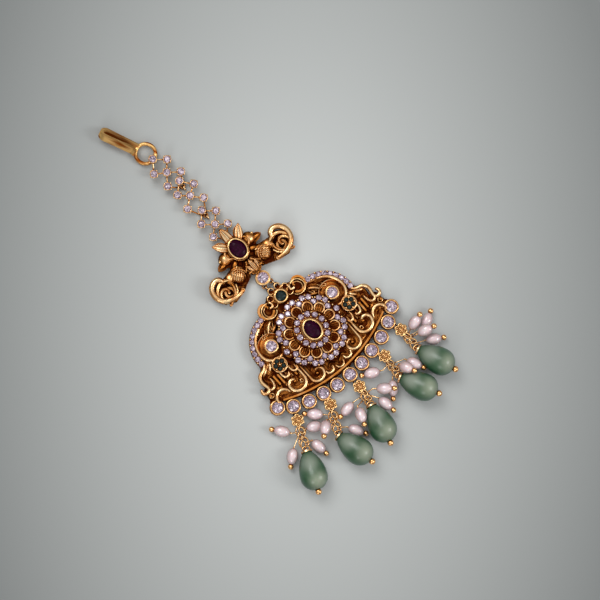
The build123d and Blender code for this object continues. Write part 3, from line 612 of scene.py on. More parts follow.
def cut_glint_group():
    """Painted reflections and glints: each facet, and each small cell of the stone, takes a dark, a
    middle or a glinting tone, as light plays on a cut stone.
    """
    group, given, result = new_group(
        "painted_facet_glints",
        [("Deep", (0.05, 0.04, 0.06, 1)), ("Middle", (0.4, 0.35, 0.45, 1)),
         ("Light", (0.9, 0.88, 0.95, 1)), ("Seed", 0.0)],
        [("Color", "Color")])
    place = own_place(group)
    normal = node(group, "NewGeometry").outputs["True Normal"]
    sparks = node(group, "TexVoronoi", {"Vector": place, "Scale": 2100.0}).outputs["Color"]
    facing = vector_maths(group, "SNAP", normal, (0.037, 0.041, 0.043))
    spot = vector_maths(group, "SNAP", place, (0.0007, 0.0007, 0.02))
    facet = vector_maths(group, "MULTIPLY_ADD", spot, (611.0, 733.0, 97.0), facing)
    chance = node(group, "TexWhiteNoise", {"Vector": vector_maths(group, "ADD", sparks, facet),
                                           "W": given["Seed"]}, noise_dimensions="4D")
    chance = chance.outputs["Value"]
    tone = mixed(group, ranged(group, chance, 0.12, 0.55), given["Deep"], given["Middle"])
    feed(group, result, {
        "Color": mixed(group, ranged(group, chance, 0.6, 0.95), tone, given["Light"])})


def milky_glass_group():
    """Satin glass: milky veils, a painted pale sheen by the narrow end and a painted glow by the
    thick end.
    """
    group, given, result = new_group(
        "milky_glass",
        [("Body", (0.05, 0.1, 0.05, 1)), ("Veil", (0.15, 0.19, 0.12, 1)),
         ("Painted Sheen", (0.08, 0.08, 0.06, 1)), ("Glow", (0.4, 0.45, 0.33, 1)),
         ("Painted Sheen Place", (0, 0, 0)), ("Glow Place", (0, 0, 0))],
        [("Color", "Color")])
    place = own_place(group)
    stretched = node(group, "Mapping", {"Vector": place, "Rotation": (0, 0, math.radians(12)),
                                        "Scale": (1.0, 0.22, 1.0)}).outputs["Vector"]
    veil = ranged(group, noise(group, stretched, 330.0, 3.0), 0.4, 0.75)
    shade = mixed(group, veil, given["Body"], given["Veil"])
    # Two painted spots of light: a pale sheen by the narrow end and a glow by the thick end.
    for label, near, far, strength in (("Painted Sheen", 0.0006, 0.0036, 0.6),
                                       ("Glow", 0.0008, 0.0042, 0.65)):
        away = vector_maths(group, "DISTANCE", place, given[label + " Place"], output="Value")
        soft = ranged(group, away, far, near, end=strength, smooth=True)
        shade = mixed(group, soft, shade, given[label])
    feed(group, result, {"Color": shade})


# ---- materials ----
def new_material(name):
    """Material with its Principled shader, and the tree to build on."""
    material = bpy.data.materials.new(name)
    material.use_nodes = True
    return material.node_tree, material.node_tree.nodes["Principled BSDF"]


def bumped(tree, height, distance, strength):
    """Normal of a surface with a fine grain."""
    made = node(tree, "Bump", {"Distance": distance, "Strength": strength, "Height": height})
    return made.outputs["Normal"]


def gold_material(name, low, high, tarnish, reach, bright=None):
    """Cast gold, from dark (tarnish and painted shade) at the low height to rubbed with painted
    highlight at the high one, in millimetres.
    """
    metal = bpy.context.scene.jewel_metal
    tree, shader = new_material(name)
    made = placed_group(tree, "oxidised_casting_with_painted_light", {
        "Bright": opaque(bright or metal.rubbed_and_highlight), "Body": opaque(metal.body),
        "Tarnish And Shade": opaque(metal.tarnish), "Low": low * MM, "High": high * MM,
        "Hollow Reach": reach * MM, "Tarnish Amount": tarnish, "Grain Size": metal.grain})
    feed(tree, shader, {
        "Base Color": made["Color"], "Roughness": made["Roughness"], "Metallic": 1.0,
        "Specular Tint": GOLD_TINT, "Normal": bumped(tree, made["Height"], 0.00006, 0.6)})


def polished_material():
    """Polished gold of the hair hook, with painted reflections: dark brown and amber bands along
    the strip.
    """
    tree, shader = new_material("hook_gold")
    along = node(tree, "VectorRotate", {"Vector": own_place(tree), "Angle": HOOK_TURN},
                 rotation_type="Z_AXIS").outputs["Vector"]
    drawn = vector_maths(tree, "MULTIPLY", along, (110.0, 620.0, 620.0))
    painted_reflection_bands = ranged(tree, noise(tree, drawn, 1.0, 2.0), 0.38, 0.6, smooth=True)
    feed(tree, shader, {
        # Painted reflections: dark brown and amber streaks along the polished strip.
        "Base Color": mixed(tree, painted_reflection_bands, (0.34, 0.075, 0.006, 1), (1.0, 0.62, 0.23, 1)),
        "Metallic": 1.0, "Roughness": 0.42, "Specular Tint": GOLD_TINT})


def stone_material(name, deep, middle, light, seed, roughness=0.05, ior=2.1, coat=0.6):
    """Cut stone with three tones of facets: painted dark reflection, body colour and painted glint.
    """
    tree, shader = new_material(name)
    made = placed_group(tree, "painted_facet_glints", {
        "Deep": opaque(deep), "Middle": opaque(middle), "Light": opaque(light), "Seed": seed})
    feed(tree, shader, {"Base Color": made["Color"], "Roughness": roughness, "IOR": ior,
                        "Coat Weight": coat, "Coat Roughness": 0.03})


def pearl_material():
    """Rice pearl: warm clouds under a smooth lustre, brown where it is seen aslant, a painted
    reflection of the gold round it with painted edge shade.
    """
    pearl = bpy.context.scene.jewel_stones
    tree, shader = new_material("rice_pearl")
    cloud = noise(tree, own_place(tree), 260.0, 3.0)
    tint = mixed(tree, cloud, opaque(pearl.pearl_blush), opaque(pearl.pearl_body))
    feed(tree, shader, {
        "Base Color": edge_shade(tree, 0.52, tint, opaque(pearl.pearl_edge_reflection_and_shade)),
        "Roughness": 0.28, "Coat Weight": 1.0, "Coat Roughness": 0.14, "Coat IOR": 1.7,
        "Subsurface Weight": 0.12, "Subsurface Scale": 0.0008,
        "Normal": bumped(tree, cloud, 0.00008, 0.5)})


def drop_material(name, cap, foot):
    """Satin glass for one drop, between its cap and its ball."""
    glass = bpy.context.scene.jewel_stones
    tree, shader = new_material(name)
    start, end = Vector((*cap, DROP_TOP)), Vector((*foot, DROP_TOP))
    made = placed_group(tree, "milky_glass", {
        "Body": opaque(glass.drop_body), "Veil": opaque(glass.drop_cloud),
        "Painted Sheen": opaque(glass.drop_painted_sheen), "Glow": opaque(glass.drop_glow),
        # Places of the painted sheen and the painted glow on this drop.
        "Painted Sheen Place": (start.lerp(end, 0.33) + Vector((0, 0.9, 0))) * MM,
        "Glow Place": (start.lerp(end, 0.7) + Vector((0.9, -0.5, 0))) * MM})
    feed(tree, shader, {
        # The edges are painted darker and greener where the drop is seen aslant: painted edge
        # shade.
        "Base Color": edge_shade(tree, 0.4, made["Color"], opaque(glass.drop_edge_shade)),
        "Roughness": 0.4, "Specular IOR Level": 0.3, "Coat Weight": 0.4, "Coat Roughness": 0.2,
        "Subsurface Weight": 0.3, "Subsurface Radius": (0.6, 1.0, 0.75),
        "Subsurface Scale": 0.002})


# ---- sizes and colours a user may change ----
def colour(name, description, default):
    """Property for a colour."""
    return bpy.props.FloatVectorProperty(name=name, description=description, default=default,
                                         subtype="COLOR", min=0, max=1)


class JewelMetal(bpy.types.PropertyGroup):
    # Rubbed colour: rubbed wear and painted highlight on the ridges. Tarnish colour: patina and
    # painted shade in the hollows.
    rubbed_and_highlight: colour("Rubbed gold", "Colour of the ridges", (0.97, 0.68, 0.36))
    body: colour("Body gold", "Colour of the open faces", (0.62, 0.225, 0.04))
    tarnish: colour("Tarnish And Shade", "Colour of the hollows", (0.06, 0.008, 0.001))
    grain: bpy.props.FloatProperty(name="Grain", description="Fineness of the cast grain",
                                   default=2400.0)
    prong: bpy.props.FloatProperty(name="Granule", description="Radius of a granule in mm",
                                   default=0.27, min=0.05, max=0.5)


class JewelStones(bpy.types.PropertyGroup):
    # Painted reflections of the white stones: dark facets and glinting facets round the body
    # colour.
    white_deep: colour("White stone, deep", "Dark facets", (0.06, 0.035, 0.06))
    white_body: colour("White stone, body", "Middle facets", (0.37, 0.25, 0.34))
    white_glint: colour("White stone, light", "Light facets", (0.87, 0.74, 0.83))
    red_body: colour("Red stone", "Colour of the ovals", (0.024, 0.0008, 0.01))
    green_body: colour("Green stone", "Colour of the green stones", (0.002, 0.009, 0.008))
    pearl_body: colour("Pearl", "Main colour", (0.82, 0.7, 0.77))
    pearl_blush: colour("Pearl blush", "Warm clouds", (0.8, 0.58, 0.56))
    # Pearl edge colour: painted reflection of the gold and painted edge shade.
    pearl_edge_reflection_and_shade: colour("Pearl edge", "Colour seen aslant", (0.2, 0.095, 0.07))
    drop_body: colour("Drop", "Main colour of the drops", (0.032, 0.085, 0.036))
    # Drop edge colour: painted edge shade.
    drop_edge_shade: colour("Drop edge", "Colour seen aslant", (0.006, 0.07, 0.034))
    drop_cloud: colour("Drop cloud", "Milky veils", (0.1, 0.17, 0.1))
    # Painted light on the drops: a pale painted highlight and a painted glow.
    drop_painted_sheen: colour("Drop heart", "Pale sheen by the narrow end", (0.42, 0.45, 0.38))
    drop_glow: colour("Drop glow", "Milky light by the thick end", (0.5, 0.52, 0.4))


class JewelStage(bpy.types.PropertyGroup):
    tilt: bpy.props.FloatProperty(name="Tilt", description="Lean of the camera from overhead",
                                  default=math.radians(7), subtype="ANGLE")
    width: bpy.props.FloatProperty(name="Width", description="Width of the view",
                                   default=0.156, unit="LENGTH")
    distance: bpy.props.FloatProperty(name="Distance", description="Camera to jewel",
                                      default=0.9, unit="LENGTH")


# ---- operators ----
class JEWEL_OT_finishes(bpy.types.Operator):
    """Builds the materials and sets them on the jewel's own solids"""
    bl_idname = "jewel.finishes"
    bl_label = "Finishes"

    def execute(self, context):
        stones = context.scene.jewel_stones
        cast_gold_group()
        cut_glint_group()
        milky_glass_group()
        for row in GOLDS:
            gold_material(*row)
        polished_material()
        stone_material("cut_white", stones.white_deep, stones.white_body, stones.white_glint, 3.0)
        stone_material("cut_red", (0.012, 0.0006, 0.007), stones.red_body, (0.035, 0.001, 0.02),
                       5.0, roughness=0.3, ior=1.18, coat=0.0)
        stone_material("cut_green", (0.001, 0.003, 0.003), stones.green_body,
                       (0.006, 0.026, 0.02), 7.0, roughness=0.2, ior=1.4, coat=0.0)
        pearl_material()
        for number, (_, cap, foot) in enumerate(DROPS, 1):
            drop_material(f"satin_drop_{number}", cap, foot)
        for name, piece in NODES.items():
            if name.startswith("drop_bead"):
                material = "satin_drop_" + name[-1]
            else:
                material = next(finish_name for word, finish_name in FINISHES if word in name)
            if not piece.material_slots:
                piece.data.materials.append(None)
            for slot in piece.material_slots:
                slot.material = bpy.data.materials[material]
        return {"FINISHED"}


class JEWEL_OT_stones(bpy.types.Operator):
    """Sets the cut stones up in their seats, as large as their rims leave them"""
    bl_idname = "jewel.stones"
    bl_label = "Stones"

    def execute(self, context):
        small = ["rosette_inner_stones", "rosette_outer_stones", "halo_stones_left",
                 "halo_stones_right"]
        reset_stones(small, 1.3, 0.1, "pave_stones", "cut_white")
        rim = [name for name in NODES if name.startswith("rim_stone")] + ["connector_stone"]
        reset_stones(sorted(rim), 1.08, 0.24, "rim_stones", "cut_white")
        reset_stones(["chain_stones"], 1.25, 0.1, "chain_stones_cut", "cut_white")
        reset_stones(["side_stone_left", "side_stone_right"], 1.12, 0.24, "side_stones",
                     "cut_white")
        reset_stones(["green_cluster_left", "green_cluster_right"], 1.08, 0.05,
                     "cluster_stones", "cut_green")
        reset_stones(["top_stone"], 1.1, 0.24, "top_stone_cut", "cut_green")
        return {"FINISHED"}


def facing_dots(places, half, size):
    """Granules on both sides of the gaps of a closed row of stones (x, y, z)."""
    dots = []
    for (x0, y0, z0), (x1, y1, z1) in zip(places, places[1:] + places[:1]):
        run = math.hypot(x1 - x0, y1 - y0)
        nx, ny = -(y1 - y0) / run, (x1 - x0) / run
        for side in (-1, 1):
            dots.append(((x0 + x1) / 2 + nx * half * side, (y0 + y1) / 2 + ny * half * side,
                         (z0 + z1) / 2 + 0.12, size))
    return dots


def petal_ring(grid):
    """Heights of the rosette's twelve ribbed petal cups, and where they are."""
    px, py = grid[:, 0] - ROSETTE[0], grid[:, 1] - ROSETTE[1]
    far, angle = np.hypot(px, py), np.arctan2(py, px)
    pitch = 2 * math.pi / PETAL_COUNT
    off = angle - np.round(angle / pitch) * pitch
    along, across = far * np.cos(off) - PETAL_FAR, far * np.sin(off)
    share = np.hypot(along / PETAL[0], across / PETAL[1])
    tall = 4.02 + 0.3 * np.minimum(share, 1.1) ** 2
    tall += 0.11 * waves(across, 0.56) * (share < 0.85)
    tall += 0.25 * np.exp(-(np.hypot(along + 0.75, across) / 0.35) ** 2)
    return tall, (share < 1.06) & (far > 4.95)


class JEWEL_OT_rosette(bpy.types.Operator):
    """Adds the rosette's petal cups and their rims, its oval bezel and its granules"""
    bl_idname = "jewel.rosette"
    bl_label = "Rosette"

    def execute(self, context):
        size = context.scene.jewel_metal.prong
        cx, cy = ROSETTE
        rims = []
        for number in range(PETAL_COUNT):
            run = []
            for step in range(17):
                angle = math.radians(-132 + 264 * step / 16)
                x, y = turned(PETAL_FAR + PETAL[0] * math.cos(angle),
                              PETAL[1] * math.sin(angle), 2 * math.pi * number / PETAL_COUNT)
                run.append((cx + x, cy + y, 4.36, 0.15 + 0.1 * math.cos(angle / 2)))
            rims.append(run)
        wirework("rosette_petal_rims", rims, "rim_gold")
        relief("rosette_petals", (cx - 7.6, cy - 7.6), (cx + 7.6, cy + 7.6), 0.13, petal_ring,
               "petal_gold", thick=0.5)
        ringwork("rosette_bezel", [loop(cx, cy, 2.2, 2.82, 5.98, 0.3, count=48),
                                   loop(cx, cy, 2.62, 3.22, 5.25, 0.14, count=48)], "bright_gold")
        inner = []
        for number in range(INNER_COUNT):
            angle = math.radians(90 + 360 * number / INNER_COUNT)
            x, y = INNER_RING[0] * math.cos(angle), INNER_RING[1] * math.sin(angle)
            inner.append((cx + x, cy + y, dome_height(math.hypot(x, y))))
        dots = facing_dots(inner, 0.6, size)
        outer = []
        for number in range(12):
            spread = 0.0 if number in (0, 6) else 5.6
            for angle in sorted({30 * number - spread, 30 * number + spread}):
                outer.append((angle, OUTER_FAR))
            outer.append((30 * number + 15, OUTER_NEAR))
        zigzag = [(*around(ROSETTE, far, angle), dome_height(far)) for angle, far in sorted(outer)]
        dots += facing_dots(zigzag, 0.62, size)
        granules("rosette_granules", dots)
        return {"FINISHED"}


def plate_outline():
    """Edge of the pendant's plate, right half and its mirror image."""
    right = [(x, -13.3 + (x / 19.4) ** 2 * 5.7) for x in (0, 4, 8, 12, 15, 17.5, 19.4)]
    right += [(20.0, -6.4), (19.7, -4.9), (19.1, -3.3), (17.7, -2.8), (18.0, -1.2), (17.5, 0.3),
              (16.4, 1.5)]
    right += [around(HALO, HALO_EDGE, angle) for angle in range(0, 89, 8)]
    right += [(7.4, 12.4), (5.0, 13.2), (2.5, 14.2), (0, 14.6)]
    return right + [mirror_place(place) for place in reversed(right[1:-1])]


def pendant_runs():
    """Every scroll of the pendant, both halves, with the ridge above the rim."""
    runs = []
    for x, y, heading, arcs, width in SCROLLS:
        runs += both([scroll(x, y, heading, arcs, width * 1.7, RELIEF_TOP - 0.02)])
    runs.append(scroll(-1.15, -10.8, -90, [(1.15, 180)], 0.5, RELIEF_TOP - 0.02))
    runs.append([(x, -12.5 + (x / 17.4) ** 2 * 4.0, RELIEF_TOP - 0.2, 0.2)
                 for x in [-17.4 + 34.8 * step / 26 for step in range(27)]])
    return runs


def top_petals():
    """Places of the small cupped petals round the top stone, right half."""
    return [around(TOP_PLACE, 2.75, angle) for angle in (67, 25, -14)]


def pendant_ground(grid):
    """Height of the chased ground between the pendant's scrolls."""
    tall = 1.35 + chased(grid, pendant_runs(), 0.55, 0.75, 0.66, 0.13)
    x, y = np.abs(grid[:, 0]), grid[:, 1]
    bars = (x > 9.2) & (x < 17.2) & (y < -1.6) & (y > -6.4)
    tall += np.where(bars, 0.15 * waves(x + 0.5 * np.sin(1.3 * y), 1.15), 0)
    side = np.column_stack((x, y))
    cup = np.hypot(x - CUP_SCROLL[0], y - CUP_SCROLL[1])
    tall = np.where(cup < 2.1, 1.35 + 0.14 * cup + 0.12 * waves(cup, 0.66), tall)
    for px, py in top_petals():
        bowl = np.hypot(x - px, y - py)
        tall = np.where(bowl < 0.85, 1.45 + 0.5 * bowl ** 2, tall)
    for spot in ((16.2, 0.2, 1.9, 0.75, -28, 1.0), (14.6, 0.4, 0.6, 1.4, 18, 0.9),
                 (6.9, 6.9, 1.7, 0.55, -25, 0.7), (12.6, 8.6, 2.2, 0.7, -42, 0.7),
                 (8.9, 9.9, 2.2, 0.55, -18, 0.7), (16.2, -5.6, 1.3, 0.7, 30, 0.6),
                 (9.0, -10.2, 1.6, 0.45, 12, 0.6), (13.6, -9.6, 1.6, 0.45, 20, 0.5),
                 (6.2, -11.6, 1.6, 0.4, 8, 0.5), (3.4, 13.0, 0.9, 0.5, -30, 0.8),
                 (17.6, -7.0, 0.8, 0.6, 40, 0.7), (12.6, -4.6, 0.45, 1.5, 0, 0.5)):
        tall = np.maximum(tall, 1.4 + mound(side, *spot))
    return tall


class JEWEL_OT_pendant(bpy.types.Operator):
    """Adds the pendant's ground, scrolls, strokes, bezel rims, channels and granules"""
    bl_idname = "jewel.pendant"
    bl_label = "Pendant"

    def execute(self, context):
        size = context.scene.jewel_metal.prong
        wirework("pendant_scrolls", pendant_runs(), "scroll_gold")
        outline = plate_outline()
        lobes = both_discs([(*CUP_SCROLL, 2.1), (18.7, -4.0, 0.9)]
                           + [(*spot, 0.8) for spot in top_petals()])

        def plate(grid):
            """Heights of the ground, on the plate and clear of the rosette."""
            shown = within(grid, outline) | near_any(grid, lobes)
            return pendant_ground(grid), shown & ~near_any(grid, [(*ROSETTE, 8.1)])

        relief("pendant_ground", (-20.2, -13.5), (20.2, 14.7), 0.17, plate, "ground_gold")
        feathers = []
        for x, y, lean in ((6.3, 8.4, -62), (7.4, 8.3, -58), (8.5, 7.9, -52), (9.6, 7.5, -46)):
            feathers += both([scroll(x, y, lean, [(1.25, 0), (0.3, 180), (1.1, 0)], 0.34, 1.75)])
        for x, y, lean in ((9.9, -2.9, -84), (11.2, -3.3, -88), (12.4, -3.1, -92),
                           (16.5, -1.9, -96)):
            feathers += both([scroll(x, y, lean, [(2.1, 0)], 0.36, 1.8)])
        for x, y, radius in ((10.4, -7.8, 0.42), (14.1, -7.85, 0.4), (18.9, -5.6, 0.62),
                             (12.7, 8.9, 0.3)):
            feathers += both([ring((x, y), radius, 2.0, 0.15, turn=350)])
        for place in top_petals():
            feathers += both([ring(place, 0.82, 1.95, 0.17, turn=350)])
        feathers += both([ring(CUP_SCROLL, 2.05, 2.15, 0.2, start=-150, turn=265),
                          ring(CUP_SCROLL, 1.4, 1.95, 0.14, start=-140, turn=235)])
        wirework("pendant_feathers", feathers, "bright_gold")
        rims = [ring(place, 1.74, RIM_TOP - 0.06, 0.2) for place in RIM]
        beads = [ring(place, 1.92, RIM_TOP - 0.6, 0.14) for place in RIM]
        for place in (mirror_place(SIDE_PLACE), SIDE_PLACE, TOP_PLACE):
            rims.append(ring(place, 1.62, SIDE_TOP - 0.02, 0.28))
            beads.append(ring(place, 1.9, 2.3, 0.18))
        beads += [ring(place, 1.98, CLUSTER_TOP - 0.1, 0.16)
                  for place in (mirror_place(CLUSTER), CLUSTER)]
        ringwork("bezel_rims", rims, "bright_gold")
        ringwork("bezel_beads", beads, "scroll_gold")
        profile = [(1.85, 1.2), (1.85, 2.5), (2.1, 2.1), (2.5, 1.72), (2.9, 1.66), (3.2, 1.85),
                   (3.4, 2.2), (3.5, 2.2), (3.5, 1.2)]
        channels = combined([spun(profile, *mirror_place(SIDE_PLACE)), spun(profile, *SIDE_PLACE)])
        bpy.ops.object.shade_smooth_by_angle(angle=math.radians(40))
        finish(channels, "paisley_channels", "channel_gold")
        dots = []
        for number in range(HALO_COUNT):
            step = (HALO_TO - HALO_FROM) / (HALO_COUNT - 1)
            for far in (HALO_RADIUS - 0.6, HALO_RADIUS + 0.6):
                dots.append((*around(HALO, far, HALO_FROM + step * (number + 0.5)), 2.2,
                             size * 0.9))
        for number in range(5):
            dots.append((*around(CLUSTER, 1.5, 90 + 72 * (number + 0.5)), CLUSTER_TOP + 0.12,
                         size))
        dots.append((*CLUSTER, CLUSTER_TOP + 0.2, size * 1.2))
        dots = [mirror_place(dot) for dot in dots] + dots
        granules("pendant_granules", dots)
        return {"FINISHED"}


def crest_runs():
    """Every scroll of the crest, both halves, by the crest's own plan."""
    runs = []
    for x, y, heading, arcs, width in CREST_SCROLLS:
        runs += both([scroll(x, y, heading, arcs, width * 0.9, 3.0)])
    return runs


def crest_ground(grid):
    """Height of the crest's chased ground: birds' bodies, curled leaves and tails."""
    x, y = np.abs(grid[:, 0]), grid[:, 1]
    side = np.column_stack((x, y))
    tall = 1.72 + chased(grid, crest_runs(), 0.9, 0.6, 0.7, 0.12)
    ripple = np.hypot(x - 4.9, y - 22.9)
    for spot in ((4.5, 23.8, 2.45, 2.3, -20, 2.0), (6.7, 24.3, 1.8, 1.6, -30, 1.35),
                 (3.9, 28.9, 2.0, 1.7, -20, 1.5), (6.2, 27.9, 1.5, 0.75, -5, 0.9),
                 (3.2, 26.3, 1.6, 0.8, -35, 1.1), (7.6, 20.9, 2.0, 0.8, -12, 0.9)):
        tall = np.maximum(tall, 1.7 + mound(side, *spot))
    plumes = (ripple > 1.2) & (ripple < 3.0) & (x < 5.6)
    tall += np.where(plumes, 0.15 * waves(ripple, 0.6), 0)
    body = np.hypot((x - 4.9) / 2.1, (y - 23.1) / 1.9)
    tall += np.where(body < 1, 0.13 * waves(y + 0.8 * x, 0.75), 0)
    boss = np.hypot(x, y - 22.4)
    fleur = 2.75 + 0.16 * waves(y + 0.9 * x, 0.95)
    return np.where(boss < 1.95, np.maximum(tall, fleur), tall)


def lotus_petals(grid):
    """Heights of the ribbed petals above and below the crest's stone, and where they are."""
    tall, shown = np.full(len(grid), 2.5), np.zeros(len(grid), bool)
    for base, tip, width in (((-1.7, 30.2), (-4.7, 33.7), 1.25), ((1.7, 30.2), (4.7, 33.7), 1.25),
                             ((0, 30.6), (0, 35.7), 1.35), ((-0.4, 21.4), (-1.7, 24.2), 0.6),
                             ((0.4, 21.4), (1.7, 24.2), 0.6), ((0, 21.2), (0, 25.0), 0.75)):
        base, run = np.array(base), np.array(tip) - np.array(base)
        length = np.hypot(*run)
        along = (grid - base) @ run / length ** 2
        across = (grid - base) @ np.array((-run[1], run[0])) / length
        half = width * np.sin(math.pi * np.clip(0.2 + 0.8 * along, 0, 1)) ** 0.8 + 1e-6
        share = across / half
        inside = (along > 0) & (along < 1) & (np.abs(share) < 1)
        ridges = 3.0 + 0.32 * (1 - share ** 2) + 0.09 * np.cos(2 * math.pi * share * 1.5)
        tall = np.where(inside, ridges + 0.2 * np.sin(math.pi * np.clip(along, 0, 1)), tall)
        shown |= inside
    return tall, shown


class JEWEL_OT_crest(bpy.types.Operator):
    """Adds the crest's ground, scrolls, lotus petals, bezel rim and curls"""
    bl_idname = "jewel.crest"
    bl_label = "Crest"

    def execute(self, context):
        wirework("crest_scrolls", [crested(run) for run in crest_runs()], "shell_gold")
        outline = [(2.0, 21.2), (6.6, 19.3), (9.4, 18.8), (11.9, 20.2), (12.3, 23.0),
                   (9.8, 25.3), (6.5, 25.8), (3.0, 26.6)]
        middle = [(-4.7, 21.8), (4.7, 21.8), (4.7, 26.8), (-4.7, 26.8)]
        tips = [(3.6, 29.2), (7.4, 27.9), (3.6, 26.9)]
        discs = both_discs([(3.9, 28.6, 2.1), (9.35, 22.5, 3.15), (0, 22.3, 1.9)])

        def laid(grid):
            """Places by the crest's own plan, as the crest lies a little turned."""
            x, y = turned(grid[:, 0] - CREST_MIDDLE[0], grid[:, 1] - CREST_MIDDLE[1],
                          -CREST_TURN)
            return np.column_stack((x, y + CREST_MIDDLE[1]))

        def ground(grid):
            """Heights of the crest's ground, clear of its oval stone."""
            grid = laid(grid)
            shown = near_any(grid, discs) | within(grid, middle)
            for part in (outline, tips):
                shown |= within(grid, part)
                shown |= within(grid, [mirror_place(place) for place in part])
            oval = (grid[:, 0] / 2.3) ** 2 + ((grid[:, 1] - CREST_OVAL[1]) / 2.9) ** 2 < 1
            return crest_ground(grid), shown & ~oval

        relief("crest_ground", (-13.2, 18.7), (12.7, 31.4), 0.13, ground, "crest_ground_gold")
        relief("crest_petals", (-6.4, 20.6), (5.6, 36.2), 0.09,
               lambda grid: lotus_petals(laid(grid)), "lotus_gold", thick=0.6)
        ringwork("crest_bezel", [crested(loop(*CREST_OVAL, 2.24, 2.84, 3.62, 0.27, count=44)),
                                 crested(loop(*CREST_OVAL, 2.6, 3.2, 2.9, 0.16, count=44))],
                 "bright_gold")
        horn = scroll(6.7, 22.3, -80, [(3.1, 85), (1.9, 150), (1.0, 170)], 0.85, 3.0)
        trim = [scroll(3.0, 27.4, 60, [(1.5, 60), (0.9, 150)], 0.75, 2.2),
                scroll(4.2, 29.6, -30, [(2.4, 30), (1.6, 20)], 0.7, 2.2), ridged(horn),
                scroll(7.4, 24.5, 40, [(2.9, -75), (3.4, -60)], 1.15, 2.75)]
        for x, y, lean in ((3.2, 25.6, -20), (3.0, 24.8, -25), (2.9, 24.0, -30)):
            trim.append(scroll(x, y, lean, [(2.2, -38)], 0.42, 3.0))
        wirework("crest_trim", [crested(run) for part in trim for run in both([part])],
                 "bright_gold")
        return {"FINISHED"}


class JEWEL_OT_chain(bpy.types.Operator):
    """Adds the chain cups' rims and the connector's rim"""
    bl_idname = "jewel.chain"
    bl_label = "Chain"

    def execute(self, context):
        rims = []
        for number, row in enumerate(CHAIN):
            high = 1.85 if number == 0 else CUP_BASE
            plan = [(0, row["top"], high), (-PAIR_HALF, row["upper"], CUP_BASE),
                    (PAIR_HALF, row["upper"], CUP_BASE), (0, 0, CUP_BASE),
                    (-PAIR_HALF, row["lower"], CUP_BASE), (PAIR_HALF, row["lower"], CUP_BASE)]
            for across, along, z in plan:
                x, y = turned(across, along, math.radians(row["turn"]))
                rims.append(ring((row["x"] + x, row["y"] + y), 0.97, z + CUP_HEIGHT - 0.02, 0.15,
                                 count=20))
        ringwork("chain_rims", rims, "bright_gold")
        ringwork("connector_rims", [ring(CONNECTOR, 1.72, 2.14, 0.22),
                                    ring(CONNECTOR, 1.52, 2.28, 0.12)], "bright_gold")
        return {"FINISHED"}


class JEWEL_OT_drops(bpy.types.Operator):
    """Adds the drops' flower petals and centres, wire coils and pin balls"""
    bl_idname = "jewel.drops"
    bl_label = "Drops"

    def execute(self, context):
        petals, dots, coils = [], [], []
        balls = [(*tip, PIN_BALL) for tip in PIN_TIPS]
        for (x, y), (cap_x, cap_y), foot in DROPS:
            for angle in range(0, 360, 60):
                px, py = around((x, y), 1.08, angle)
                petals.append(loop(px, py, 0.53, 0.5, 2.2, 0.21, start=angle - 130, turn=260,
                                   count=20))
                dots.append((px, py, 2.2, 0.26))
            petals.append(ring((x, y), 0.46, 2.42, 0.13, turn=350, count=20))
            dots.append((x, y, 2.6, 0.3))
            lean = math.degrees(math.atan2(cap_y - y, cap_x - x))
            for share, side, tilt in ((0.33, 0.25, 20), (0.46, -0.35, -35), (0.62, 0.4, 40),
                                      (0.76, -0.3, -15), (0.9, 0.1, 85)):
                middle = around((x + (cap_x - x) * share, y + (cap_y - y) * share), side,
                                lean + 90)
                coils.append(loop(*middle, 0.95, 0.6, 2.2 if side > 0 else 1.95, 0.19, turn=350,
                                  lean=lean + tilt, count=22))
            cap = Vector((cap_x, cap_y))
            ball = cap + (Vector(foot) - cap).normalized() * BEAD_END
            balls.append((*ball, 4.6, 0.84))
        wirework("drop_coils", coils, "bright_gold")
        wirework("flower_petals", petals, "bright_gold")
        granules("flower_granules", dots)
        granules("pin_balls", balls, "ball_gold")
        return {"FINISHED"}


